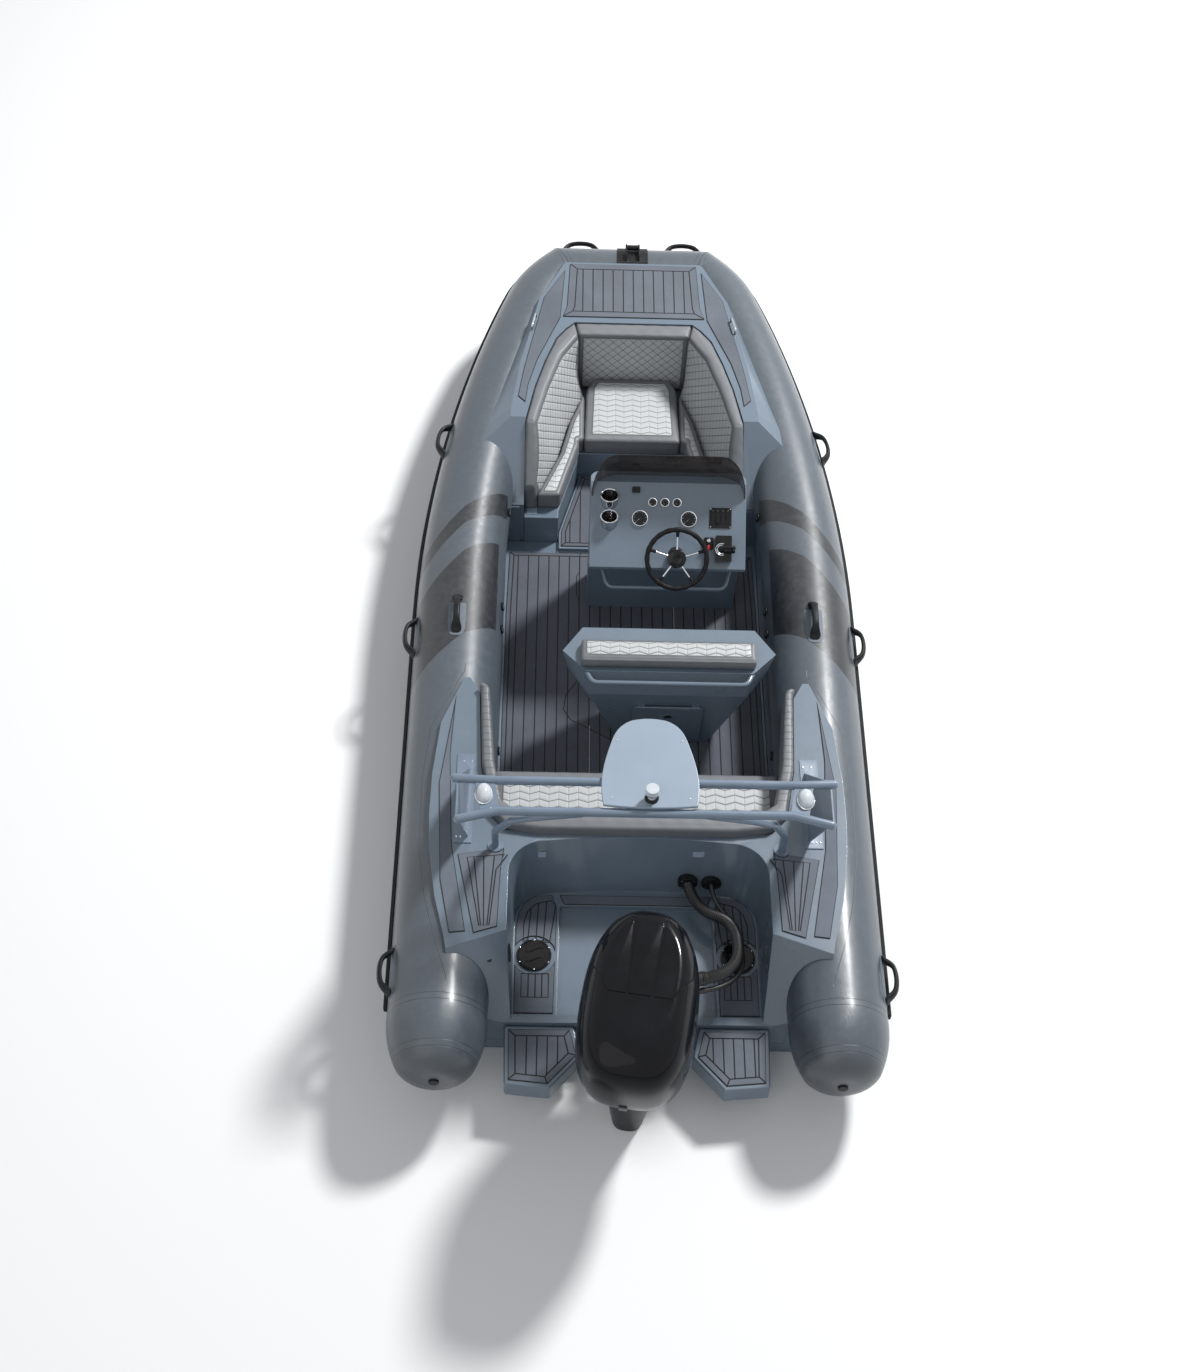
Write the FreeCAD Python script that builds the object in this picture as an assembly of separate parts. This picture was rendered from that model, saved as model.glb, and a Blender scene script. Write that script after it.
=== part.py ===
import FreeCAD, Part
import math
import os

# Rigid inflatable boat with console, bow lounge, stern bench, arch and outboard.
# Millimetres. X to starboard, Y to the bow, Z up. The origin is on the waterline,
# on the centreline, at the aft face of the transom.

# General clearances
SEAT = 0.3            # gap between pieces that rest on each other
CURVED_SEAT = 0.75    # the same on the curved tubes
RUN = 0.05            # radial running clearance of pins and shafts
PAD_T = 6.0           # thickness of the non-slip deck pads

# Buoyancy tubes
TUBE_HALF_SPACING = 1000.0
TUBE_R = 250.0
TUBE_R_BOW = 205.0
TUBE_Z = 390.0
TUBE_RISE = 165.0
RISE_START_Y = 2200.0
RISE_LENGTH = 2800.0
BEND_START_Y = 2550.0
BEND_R = 7438.0
BOW_TUBE_Y = 5210.0
CORNER_START_Y = 4960.0
CORNER_R = 420.0
CONE_LENGTH = 385.0

# Hull and decks
HULL_TOP_Z = 94.0
SOLE_T = 20.0
SOLE_Z = HULL_TOP_Z + SEAT + SOLE_T
STEP_Y = 3310.0
STEP_H = 30.0
DECK_Z = 800.0
DECK_EDGE_Z = 690.0
STEM_Y = 4640.0
STEM_TOP_Z = 450.0
STERN_DECK_Z = 660.0
TRANSOM_TOP_Z = 280.0
TRANSOM_T = 45.0
WELL_FLOOR_Z = 250.0
WELL_HALF = 665.0
WELL_FRONT_Y = 797.0

# Lounge
SEAT_BASE_Z = 330.0
CUSHION_T = 120.0
BACKREST_TOP_Z = 800.0

# Console and helm pod
CONSOLE_X = 168.0
CONSOLE_HALF = 435.0
DASH_AFT_Y = 2530.0
DASH_AFT_Z = 850.0
DASH_FORE_Y = 2930.0
DASH_FORE_Z = 1115.0
CONSOLE_FOOT_Y = 2845.0
CONSOLE_FRONT_Y = 3060.0
POD_X = 170.0
POD_TOP_Z = 820.0
POD_CREASE_Z = 660.0
POD_CUSHION_T = 60.0

# Engine
TILT_Y = -12.0
TILT_Z = 340.0
STEER_Y = -95.0
STEER_REST = -8.0
PROP_Z = -470.0
PROP_R = 168.0


def vec(x, y, z):
    return FreeCAD.Vector(x, y, z)


def smooth(t):
    t = min(1.0, max(0.0, t))
    return t * t * (3.0 - 2.0 * t)


def ring(points, z):
    """Closed wire of straight edges through plan points at one height."""
    corners = [vec(x, y, z) for x, y in points]
    return Part.makePolygon(corners + corners[:1])


def prism(points, low, high):
    """Upright solid over a plan outline."""
    return Part.Face(ring(points, low)).extrude(vec(0, 0, high - low))


def side_prism(points, x_low, x_high):
    """Solid over an outline in the Y-Z plane."""
    corners = [vec(x_low, y, z) for y, z in points]
    wire = Part.makePolygon(corners + corners[:1])
    return Part.Face(wire).extrude(vec(x_high - x_low, 0, 0))


def block(x0, x1, y0, y1, z0, z1):
    return Part.makeBox(x1 - x0, y1 - y0, z1 - z0, vec(x0, y0, z0))


def mirrored(shape):
    return shape.mirror(vec(0, 0, 0), vec(1, 0, 0))


def both(shape):
    """The piece and its mirror image, as one node."""
    return Part.makeCompound([shape, mirrored(shape)])


def mirror_outline(half):
    """Plan outline from its starboard points, run from the stern to the bow."""
    return half + [(-x, y) for x, y in reversed(half) if x != 0.0]


def rod(a, b, radius):
    return Part.makeCylinder(radius, a.distanceToPoint(b), a, b - a)


def bent_bar(points, bends, radius):
    """Round bar along straight runs joined by tangent arcs, one bend radius or one for each corner."""
    corners = [vec(*p) for p in points]
    if not isinstance(bends, list):
        bends = [bends] * (len(corners) - 2)
    edges = []
    start = corners[0]
    for before, corner, after, bend in zip(corners, corners[1:], corners[2:], bends):
        into = (before - corner).normalize()
        out = (after - corner).normalize()
        half_turn = 0.5 * (math.pi - into.getAngle(out))
        reach = bend * math.tan(half_turn)
        first = corner + into * reach
        last = corner + out * reach
        middle = corner + (into + out).normalize() * (bend / math.cos(half_turn) - bend)
        edges.append(Part.makeLine(start, first))
        edges.append(Part.Arc(first, middle, last).toShape())
        start = last
    edges.append(Part.makeLine(start, corners[-1]))
    path = Part.Wire(edges)
    profile = Part.Wire(Part.makeCircle(radius, corners[0], corners[1] - corners[0]))
    return path.makePipeShell([profile], True, False)


def widest_bends(points):
    """Bend radii of a hose that turns as gently as its runs allow."""
    corners = [vec(*p) for p in points]
    bends = []
    for before, corner, after in zip(corners, corners[1:], corners[2:]):
        half_turn = 0.5 * (corner - before).getAngle(after - corner)
        shorter = min(before.distanceToPoint(corner), corner.distanceToPoint(after))
        bends.append(0.45 * shorter / math.tan(half_turn))
    return bends


# Tubes

def tube_at(y):
    """Axis position, radius and heading of the starboard tube at a station."""
    heading = math.asin(max(0.0, y - BEND_START_Y) / BEND_R)
    corner = max(0.0, y - CORNER_START_Y)
    x = TUBE_HALF_SPACING - BEND_R * (1.0 - math.cos(heading)) - corner ** 2 / (2.0 * CORNER_R)
    heading = math.atan(math.tan(heading) + corner / CORNER_R)
    z = TUBE_Z + TUBE_RISE * smooth((y - RISE_START_Y) / RISE_LENGTH)
    r = TUBE_R - (TUBE_R - TUBE_R_BOW) * smooth((y - RISE_START_Y) / RISE_LENGTH)
    return x, z, r, heading


def tube_sections():
    """Stations along the starboard tube's straight sweep, and round its bow corner."""
    sweep = [CORNER_START_Y * i / 12 for i in range(13)]
    corner = [CORNER_START_Y + (BOW_TUBE_Y - CORNER_START_Y) * i / 3 for i in range(4)]
    rows = []
    for stations in (sweep, corner):
        row = []
        for y in stations:
            x, z, r, heading = tube_at(y)
            row.append((vec(x, y, z), r, heading))
        rows.append(row)
    centre, r, heading = rows[1][-1]
    step = vec(-math.sin(heading), math.cos(heading), 0) * 1.3 * TUBE_R_BOW
    rows.append([(centre, r, heading), (centre + step, r, heading)])
    return rows


def mitre_side(offset):
    """Half space on the stern side of the starboard bow corner's mitre."""
    x, z, r, heading = tube_at(BOW_TUBE_Y)
    normal = vec(-math.sin(heading) - 1.0, math.cos(heading), 0).normalize()
    size = 12000.0
    box = Part.makeBox(size, size, size, vec(-size / 2, -size / 2, -size))
    turn = FreeCAD.Rotation(vec(0, 0, 1), normal)
    box.Placement = FreeCAD.Placement(vec(x, BOW_TUBE_Y, z) - normal * offset, turn)
    return box


def side_tube(grow):
    """Starboard tube with its rounded stern cone."""
    body = None
    for stations in tube_sections():
        wires = []
        for centre, r, heading in stations:
            along = vec(-math.sin(heading), math.cos(heading), 0)
            wires.append(Part.Wire(Part.makeCircle(r + grow, centre, along)))
        length = Part.makeLoft(wires, True, False)
        body = body.fuse(length) if body else length
    r = TUBE_R + grow
    tip = -CONE_LENGTH - grow
    seam = [vec(0, 0, 0), vec(r, 0, 0), vec(r, -40, 0)]
    edges = [Part.makeLine(seam[0], seam[1]), Part.makeLine(seam[1], seam[2])]
    cone_mid = vec(r - 18, -215, 0)
    shoulder = vec(r - 58, -318, 0)
    edges.append(Part.Arc(seam[2], cone_mid, shoulder).toShape())
    rim = vec(r - 190, tip + 2, 0)
    edges.append(Part.Arc(shoulder, vec(r - 112, tip + 20, 0), rim).toShape())
    edges.append(Part.makeLine(rim, vec(0, tip, 0)))
    edges.append(Part.makeLine(vec(0, tip, 0), seam[0]))
    cone = Part.Face(Part.Wire(edges)).revolve(vec(0, 0, 0), vec(0, 1, 0), 360)
    cone.translate(vec(TUBE_HALF_SPACING, 0, TUBE_Z))
    return body.fuse(cone).removeSplitter().common(mitre_side(SEAT / 2 - grow))


def bow_tube(grow):
    """Transverse tube between the two mitred corners."""
    x, z, r, heading = tube_at(BOW_TUBE_Y)
    reach = x + 1.3 * TUBE_R_BOW
    bar = rod(vec(-reach, BOW_TUBE_Y, z), vec(reach, BOW_TUBE_Y, z), r + grow)
    side = mitre_side(-SEAT / 2 + grow)
    return bar.cut(side).cut(mirrored(side))


TUBE_STARBOARD = side_tube(0)
TUBE_PORT = mirrored(TUBE_STARBOARD)
TUBE_BOW = bow_tube(0)
CLEAR_SIDE = side_tube(SEAT)
CLEAR_TUBES = [CLEAR_SIDE, mirrored(CLEAR_SIDE), bow_tube(SEAT)]


def off_tubes(shape):
    """The shape with the tubes' room taken away."""
    for tube in CLEAR_TUBES:
        shape = shape.cut(tube)
    return shape


def main_solid(shape):
    """The largest solid of a shape."""
    return max(shape.Solids, key=lambda s: s.Volume)


def outward(solid):
    """The solid with its faces turned outwards."""
    if solid.Volume < 0:
        solid.reverse()
    return solid


# Rub strake along the outer side of the tubes

STRAKE_T = 20.0
STRAKE_H = 60.0


def rub_strakes():
    side = None
    for stations in tube_sections():
        wires = []
        for centre, r, heading in stations:
            out = vec(math.cos(heading), math.sin(heading), 0)
            near = centre + out * (r + SEAT)
            far = near + out * STRAKE_T
            half = vec(0, 0, STRAKE_H / 2)
            bevel = vec(0, 0, STRAKE_H / 3)
            corners = [near - half, far - bevel, far + bevel, near + half]
            wires.append(Part.makePolygon(corners + corners[:1]))
        length = Part.makeLoft(wires, True, False)
        side = side.fuse(length) if side else length
    side = side.common(mitre_side(SEAT / 2))
    x, z, r, heading = tube_at(BOW_TUBE_Y)
    near = BOW_TUBE_Y + r + SEAT
    half = STRAKE_H / 2
    outline = [(near, z - half), (near + STRAKE_T, z - STRAKE_H / 3),
               (near + STRAKE_T, z + STRAKE_H / 3), (near, z + half)]
    reach = x + 1.6 * TUBE_R_BOW
    front = side_prism(outline, -reach, reach)
    cutter = mitre_side(-SEAT / 2)
    front = front.cut(cutter).cut(mirrored(cutter))
    return Part.makeCompound([side, mirrored(side), front])


# Hull

HULL_STATION_COUNT = 14
HULL_END_Y = 5160.0
KEEL_Z = -310.0
KEEL_RISE = 600.0
KEEL_RISE_Y = 2700.0
CHINE_X = 805.0
CHINE_X_END = 255.0
CHINE_TURN_Y = 2500.0
CHINE_Z = -40.0
CHINE_RISE = 385.0
CHINE_RISE_Y = 2300.0
ENVELOPE_TOP_Z = 900.0


def toward_bow(y, start, power):
    """Share of a change that begins at one station and ends at the stem."""
    t = max(0.0, y - start) / (HULL_END_Y - start)
    return t ** power


def hull_envelope():
    """Everything inside the hull's skin, carried up past the decks."""
    wires = []
    for i in range(HULL_STATION_COUNT + 1):
        y = HULL_END_Y * i / HULL_STATION_COUNT
        keel = KEEL_Z + KEEL_RISE * toward_bow(y, KEEL_RISE_Y, 2.6)
        chine_x = CHINE_X - (CHINE_X - CHINE_X_END) * toward_bow(y, CHINE_TURN_Y, 2.2)
        chine_z = CHINE_Z + CHINE_RISE * toward_bow(y, CHINE_RISE_Y, 2.0)
        tube_x, tube_z, r, heading = tube_at(y)
        shelf_z = tube_z - 0.94 * r
        half = [
            vec(chine_x, y, chine_z),
            vec(chine_x + 22, y, chine_z + 12),
            vec(tube_x - 25, y, shelf_z - 12),
            vec(tube_x + 120, y, shelf_z + 30),
            vec(tube_x + 120, y, ENVELOPE_TOP_Z),
        ]
        other = [vec(-p.x, p.y, p.z) for p in reversed(half)]
        corners = [vec(0, y, keel)] + half + other
        wires.append(Part.makePolygon(corners + corners[:1]))
    return outward(Part.makeLoft(wires, True, False))


ENVELOPE = hull_envelope()


RIDGE = [(430, 5105), (588, 4765), (643, 4448), (697, 4157), (738, 3800), (738, 3380)]
EDGE = [(505, 5125), (662, 4700), (745, 4400), (822, 4070), (902, 3745), (902, 3360)]
WELL_LINE = [(364, 4555), (419, 4500), (480, 4409), (544, 4214), (600, 3997), (652, 3710), (652, 3300)]
LOUNGE_AFT_Y = 3350.0
BULWARK_Z = 420.0
SHELF_Z = 300.0
SOLE_HALF = 760.0
LOUNGE_WALL = 25.0
HULL_SKIN = 30.0


def lounge_room(grow):
    half = [(x + grow, y + (grow if x < 430 else 0)) for x, y in WELL_LINE]
    half[-1] = (half[-1][0], 3200)
    return half


def hull_room(grow):
    """Space under and beside the decks that the hull takes."""
    low = -800.0
    width = 1400.0
    body = block(-width, width, -10, STEM_Y, low, HULL_TOP_Z + grow)
    stem = block(-width, width, STEM_Y - grow, 5400, low, STEM_TOP_Z + grow)
    side = block(-width, width, LOUNGE_AFT_Y - grow, STEM_Y, low, BULWARK_Z + grow)
    lounge = mirror_outline(list(reversed(lounge_room(LOUNGE_WALL - grow))))
    side = side.cut(prism(lounge, HULL_TOP_Z + grow, BULWARK_Z + 50))
    shelf = block(-width, width, -10, LOUNGE_AFT_Y, low, SHELF_Z + grow)
    inner = SOLE_HALF + SEAT - grow
    shelf = shelf.cut(block(-inner, inner, -20, LOUNGE_AFT_Y + 10, HULL_TOP_Z + grow, SHELF_Z + 50))
    return body.fuse(stem).fuse(side).fuse(shelf)


def above_skin(thickness):
    """Room over the hull's skin, for what stands in the bow."""
    room = ENVELOPE.copy()
    room.translate(vec(0, 0, thickness))
    return room


def hull():
    """V bottom with chines, shelf under the tubes and stem."""
    body = ENVELOPE.common(hull_room(0))
    fore = block(-1400, 1400, LOUNGE_AFT_Y, HULL_END_Y, KEEL_Z, STEM_TOP_Z)
    skin = ENVELOPE.common(fore).cut(above_skin(HULL_SKIN))
    return main_solid(off_tubes(body.fuse(skin)))


# Cockpit sole

def cockpit_sole():
    low = HULL_TOP_Z + SEAT
    aft = 1385.0
    half = [(SOLE_HALF, aft), (SOLE_HALF, LOUNGE_AFT_Y - SEAT)]
    plate = prism(mirror_outline(half), low, low + SOLE_T)
    foot = [(440, STEP_Y - 40), (440, STEP_Y + 90), (325, 3840), (325, 3880)]
    step = prism(mirror_outline(foot), low, low + SOLE_T + STEP_H)
    return main_solid(off_tubes(plate.fuse(step)).cut(hull_room(SEAT)))


def sole_pads():
    low = SOLE_Z + SEAT
    half = [(690, 1400), (690, 2800), (640, STEP_Y - 50)]
    main = prism(mirror_outline(half), low, low + PAD_T)
    main = main.cut(console_room(6)).cut(pod_room(6))
    high = low + STEP_H
    foot = [(425, STEP_Y - 25), (425, STEP_Y + 95), (310, 3840), (310, 3868)]
    fore = prism(mirror_outline(foot), high, high + PAD_T)
    return Part.makeCompound(off_tubes(main).Solids + [fore])


# Console

SCREEN_T = 6.0
SCREEN_CORNER_R = 150.0
SCREEN_AFT_Y = 2860.0
SCREEN_LOW_Z = 1060.0
SCREEN_TOP_Z = 1350.0
SCREEN_RAKE = 95.0


def console_profile(grow):
    """Side outline of the console."""
    g = grow
    return [
        (CONSOLE_FOOT_Y - g, SOLE_Z + SEAT), (CONSOLE_FOOT_Y - 25 - g, 560),
        (DASH_AFT_Y + 40 - g, 790), (DASH_AFT_Y - g, DASH_AFT_Z - 20), (DASH_AFT_Y - g, DASH_AFT_Z + g),
        (DASH_FORE_Y, DASH_FORE_Z + g), (CONSOLE_FRONT_Y - 30, DASH_FORE_Z - 20 + g),
        (CONSOLE_FRONT_Y + g, 900), (CONSOLE_FRONT_Y + 60 + g, SOLE_Z + SEAT),
    ]


def console_room(grow):
    return side_prism(console_profile(grow), CONSOLE_X - CONSOLE_HALF - grow,
                      CONSOLE_X + CONSOLE_HALF + grow)


def console_body():
    """Moulded console with flared foot, sloping dash and rounded corners."""
    body = console_room(0)
    upright = [e for e in body.Edges if abs(e.tangentAt(e.FirstParameter).x) < 0.01
               and e.CenterOfMass.y > CONSOLE_FRONT_Y - 40 and e.CenterOfMass.z > 300]
    body = body.makeFillet(60, upright[:4]) if upright else body
    for cup in CUPS:
        body = body.cut(Part.makeCylinder(CUP_R, CUP_DEPTH + 60, cup - vec(0, 0, CUP_DEPTH)))
    return body


CUP_R = 46.0
CUP_DEPTH = 62.0
CUP_X = -161.0
CUP_OFFSETS = (314.0, 216.0)
DASH_SLOPE = math.atan2(DASH_FORE_Z - DASH_AFT_Z, DASH_FORE_Y - DASH_AFT_Y)
DASH_NORMAL = vec(0, -math.sin(DASH_SLOPE), math.cos(DASH_SLOPE))


def dash_point(x, y, lift):
    """Point over the dash at a plan position."""
    z = DASH_AFT_Z + (y - DASH_AFT_Y) * math.tan(DASH_SLOPE)
    return vec(x, y, z) + DASH_NORMAL * lift


def dash_box(x0, x1, y0, y1, height):
    """Flat box seated on the dash."""
    a = [dash_point(x0, y0, SEAT), dash_point(x1, y0, SEAT),
         dash_point(x1, y1, SEAT), dash_point(x0, y1, SEAT)]
    return Part.Face(Part.makePolygon(a + a[:1])).extrude(DASH_NORMAL * height)


CUPS = [dash_point(CUP_X, DASH_AFT_Y + offset, 0) for offset in CUP_OFFSETS]
CUP_WALL = 2.5
CUP_RIM = 22.0


def cup_holders():
    """Steel cups let into the dash."""
    cups = []
    for cup in CUPS:
        base = cup - vec(0, 0, CUP_DEPTH - SEAT)
        outer = Part.makeCylinder(CUP_R - SEAT, CUP_DEPTH + CUP_RIM, base)
        inner = Part.makeCylinder(CUP_R - CUP_WALL, CUP_DEPTH + CUP_RIM, base + vec(0, 0, CUP_WALL))
        cups.append(outer.cut(inner))
    return Part.makeCompound(cups)


# Gauges: across the boat, forward of the dash's aft edge, radius
GAUGES = [(10, 230, 43), (283, 230, 43), (80, 306, 26), (148, 306, 26), (216, 306, 26)]


def instruments():
    dials = []
    for x, offset, radius in GAUGES:
        base = dash_point(x, DASH_AFT_Y + offset, SEAT)
        bezel = Part.makeCylinder(radius, 12, base, DASH_NORMAL)
        dials.append(bezel.cut(Part.makeCylinder(radius - 5, 6, base + DASH_NORMAL * 9, DASH_NORMAL)))
    return Part.makeCompound(dials)


def switch_panel():
    return dash_box(398, 522, DASH_AFT_Y + 182, DASH_AFT_Y + 296, 8)


def corner(x, y, turn, side, z):
    """Rounded forward corner of a plan, from its foremost point out to the side."""
    cut = turn * (1.0 - math.sqrt(0.5))
    fore = vec(x - side * turn, y, z)
    middle = vec(x - side * cut, y - cut, z)
    return Part.Arc(fore, middle, vec(x, y - turn, z)).toShape()


def screen_slab(grow):
    """Closed body of the screen's plan, raked aft as it rises."""
    wires = []
    for z, shift in ((SCREEN_LOW_Z, 0.0), (SCREEN_TOP_Z, -SCREEN_RAKE)):
        half = CONSOLE_HALF - 6 + grow
        front = CONSOLE_FRONT_Y - 45 + grow + shift
        aft = SCREEN_AFT_Y - 140 + grow
        left = CONSOLE_X - half
        right = CONSOLE_X + half
        turn = SCREEN_CORNER_R + grow
        wires.append(Part.Wire([
            Part.makeLine(vec(right - turn, front, z), vec(left + turn, front, z)),
            corner(left, front, turn, -1, z),
            Part.makeLine(vec(left, front - turn, z), vec(left, aft, z)),
            Part.makeLine(vec(left, aft, z), vec(right, aft, z)),
            Part.makeLine(vec(right, aft, z), vec(right, front - turn, z)),
            corner(right, front, turn, 1, z),
        ]))
    return Part.makeLoft(wires, True, True)


def windscreen():
    """Wrap-round smoked screen along the console's forward edge."""
    sheet = screen_slab(0).cut(screen_slab(-SCREEN_T))
    outline = [(2600, 1000), (SCREEN_AFT_Y, 1000), (SCREEN_AFT_Y, 1080), (2925, 1352), (2600, 1352)]
    aft_room = side_prism(outline, -600, 1000)
    return main_solid(sheet.cut(aft_room).cut(console_room(SEAT)))


def console_rail():
    y = DASH_AFT_Y + 26
    left = CONSOLE_X - 330
    right = CONSOLE_X + 330
    points = [(left - 40, y + 110, 758), (left, y - 45, 700),
              (right, y - 45, 700), (right + 40, y + 110, 758)]
    bar = bent_bar(points, 45, 13)
    return main_solid(bar.cut(console_room(SEAT)))


WHEEL_HUB = dash_point(214, DASH_AFT_Y + 35, 95)
WHEEL_R = 165.0
WHEEL_TILT = math.radians(38)
WHEEL_AXIS = vec(0, -math.cos(WHEEL_TILT), math.sin(WHEEL_TILT))
WHEEL_SHAFT_R = 12.0
WHEEL_SHAFT_L = 58.0
WHEEL_HUB_BACK = 20.0
BOSS_LENGTH = 135.0


def helm_boss():
    """Fixed hub housing under the steering wheel."""
    base = WHEEL_HUB - WHEEL_AXIS * BOSS_LENGTH
    boss = Part.makeCone(48, 34, BOSS_LENGTH - WHEEL_HUB_BACK - SEAT, base, WHEEL_AXIS)
    end = WHEEL_HUB - WHEEL_AXIS * WHEEL_SHAFT_L
    bore = Part.makeCylinder(WHEEL_SHAFT_R + RUN, BOSS_LENGTH, end, WHEEL_AXIS)
    return main_solid(boss.cut(bore).cut(console_room(SEAT)))


def steering_wheel():
    """Rim, five spokes and hub."""
    rim = Part.makeTorus(WHEEL_R, 14, WHEEL_HUB + WHEEL_AXIS * 12, WHEEL_AXIS)
    hub = Part.makeCylinder(30, 34, WHEEL_HUB - WHEEL_AXIS * WHEEL_HUB_BACK, WHEEL_AXIS)
    length = WHEEL_SHAFT_L - 2
    shaft = Part.makeCylinder(WHEEL_SHAFT_R, length, WHEEL_HUB - WHEEL_AXIS * length, WHEEL_AXIS)
    wheel = rim.fuse(hub).fuse(shaft)
    across = vec(1, 0, 0)
    up = WHEEL_AXIS.cross(across)
    for i in range(5):
        angle = math.radians(90 + 72 * i)
        out = across * math.cos(angle) + up * math.sin(angle)
        foot = WHEEL_HUB + out * 20
        tip = WHEEL_HUB + out * (WHEEL_R - 4) + WHEEL_AXIS * 10
        wheel = wheel.fuse(rod(foot, tip, 7))
    return wheel


def throttle():
    """Binnacle box with its lever at the dash's starboard end."""
    base = dash_box(432, 520, DASH_AFT_Y + 30, DASH_AFT_Y + 150, 70)
    pivot = dash_point(476, DASH_AFT_Y + 85, 60)
    lever = bent_bar([tuple(pivot + vec(50, 0, 0)), tuple(pivot + vec(50, 0, 0) + DASH_NORMAL * 110),
                      tuple(pivot + vec(-20, 0, 0) + DASH_NORMAL * 110)], 18, 11)
    return base.fuse(rod(pivot, pivot + vec(62, 0, 0), 20)).fuse(lever)


# Helm pod

def pod_ring(points, z):
    return ring([(POD_X + x, y) for x, y in points], z)


def pod_room(grow):
    g = grow
    low = [(-249 - g, 1870 - g), (249 + g, 1870 - g), (290 + g, 1960), (249 + g, 2110 + g),
           (-249 - g, 2110 + g), (-290 - g, 1960)]
    crease = [(-430 - g, 1787 - g), (430 + g, 1787 - g), (545 + g, 1957), (450 + g, 2140 + g),
              (-450 - g, 2140 + g), (-545 - g, 1957)]
    top = [(-451 - g, 1822 - g), (451 + g, 1822 - g), (578 + g, 1957), (470 + g, 2120 + g),
           (-470 - g, 2120 + g), (-578 - g, 1957)]
    z0 = SOLE_Z + SEAT
    lower = Part.makeLoft([pod_ring(low, z0), pod_ring(crease, POD_CREASE_Z)], True, True)
    upper = Part.makeLoft([pod_ring(crease, POD_CREASE_Z), pod_ring(top, POD_TOP_Z)], True, True)
    return lower.fuse(upper)


HATCH_X0 = -15.0
HATCH_X1 = 370.0
HATCH_Z0 = 165.0
HATCH_Z1 = 535.0
HATCH_HINGE_Z = 543.0
POD_REAR_SLOPE = (1870.0 - 1787.0) / (POD_CREASE_Z - SOLE_Z)


def pod_rear_y(z):
    """Aft face of the pod at a height."""
    return 1787.0 + (POD_CREASE_Z - z) * POD_REAR_SLOPE


def hatch_solid(x0, x1, z0, z1, inward, outward):
    points = [(pod_rear_y(z0) + inward, z0), (pod_rear_y(z1) + inward, z1),
              (pod_rear_y(z1) - outward, z1), (pod_rear_y(z0) - outward, z0)]
    return side_prism(points, x0, x1)


HATCH_T = 14.0
HINGE_Y = 1790.0
HINGE_PIN_R = 3.0
KNUCKLE_R = 6.0
KNUCKLE_L = 45.0
LOCKER_RIM = 20.0


def hinge_rod(start, end, radius):
    """Round length on the hinge's axis."""
    return rod(vec(start, HINGE_Y, HATCH_HINGE_Z), vec(end, HINGE_Y, HATCH_HINGE_Z), radius)


def helm_seat_base():
    """Pod with its locker and the fixed half of the locker's hinge."""
    rim = LOCKER_RIM
    locker = hatch_solid(HATCH_X0 + rim, HATCH_X1 - rim, HATCH_Z0 + rim, HATCH_Z1 - rim, 200, 60)
    body = pod_room(0).cut(locker)
    for x in (HATCH_X0 + rim, HATCH_X1 - rim - KNUCKLE_L):
        leaf = block(x, x + KNUCKLE_L, HINGE_Y, HINGE_Y + 25, HATCH_HINGE_Z + 1, HATCH_HINGE_Z + KNUCKLE_R)
        body = body.fuse(hinge_rod(x, x + KNUCKLE_L, KNUCKLE_R)).fuse(leaf)
    return body.fuse(hinge_rod(HATCH_X0 + rim, HATCH_X1 - rim, HINGE_PIN_R))


def helm_hatch():
    """Lid in front of the pod's locker, hung at its upper edge, with the moving half of the hinge."""
    lid = hatch_solid(HATCH_X0, HATCH_X1, HATCH_Z0, HATCH_Z1, -2 * SEAT, HATCH_T)
    start = HATCH_X0 + LOCKER_RIM + KNUCKLE_L + 1
    end = HATCH_X1 - LOCKER_RIM - KNUCKLE_L - 1
    leaf = block(start, end, HINGE_Y - KNUCKLE_R + 1, HINGE_Y + KNUCKLE_R - 1, HATCH_Z1 - 12, HATCH_HINGE_Z)
    lid = lid.fuse(hinge_rod(start, end, KNUCKLE_R)).fuse(leaf)
    return lid.cut(hinge_rod(start - 10, end + 10, HINGE_PIN_R + RUN))


def helm_cushion():
    """Leaning bolster on the pod."""
    top = POD_TOP_Z + POD_CUSHION_T
    profile = [(1848, POD_TOP_Z + SEAT), (1848, top - 14), (1862, top), (1975, top), (2002, top - 12),
               (2018, POD_TOP_Z + SEAT)]
    return side_prism(profile, POD_X - 475, POD_X + 465)


def helm_rail():
    y = 1822.0
    left = POD_X - 470
    right = POD_X + 470
    points = [(left, y + 60, 800), (left + 55, y - 62, 800),
              (right - 55, y - 62, 800), (right, y + 60, 800)]
    bar = bent_bar(points, 45, 13)
    return main_solid(bar.cut(pod_room(SEAT)))


# Bow

def slant(offset):
    """Room above the sloping aft end of the bow moulding."""
    y0 = 3730.0 + offset
    return side_prism([(y0 - 480, DECK_Z - 480), (y0 + 2, DECK_Z + 2), (y0 + 2, 1500), (y0 - 900, 1500),
                       (y0 - 900, DECK_Z - 480)], -1200, 1200)


def bow_deck():
    """Deck moulding with sloping shoulders round the lounge."""
    ridge = ring(mirror_outline([(x, y) for x, y in reversed(RIDGE)]), DECK_Z)
    edge = ring(mirror_outline([(x, y) for x, y in reversed(EDGE)]), DECK_EDGE_Z)
    top = Part.makeLoft([edge, ridge], True, True)
    low = HULL_TOP_Z + SEAT
    base = prism(mirror_outline([(x, y) for x, y in reversed(EDGE)]), low, DECK_EDGE_Z)
    body = base.fuse(top).common(above_skin(HULL_SKIN + SEAT))
    body = body.cut(hull_room(SEAT))
    well = mirror_outline(list(reversed(lounge_room(0))))
    body = body.cut(prism(well, low - 5, 1000)).cut(slant(0))
    return main_solid(off_tubes(body))


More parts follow.
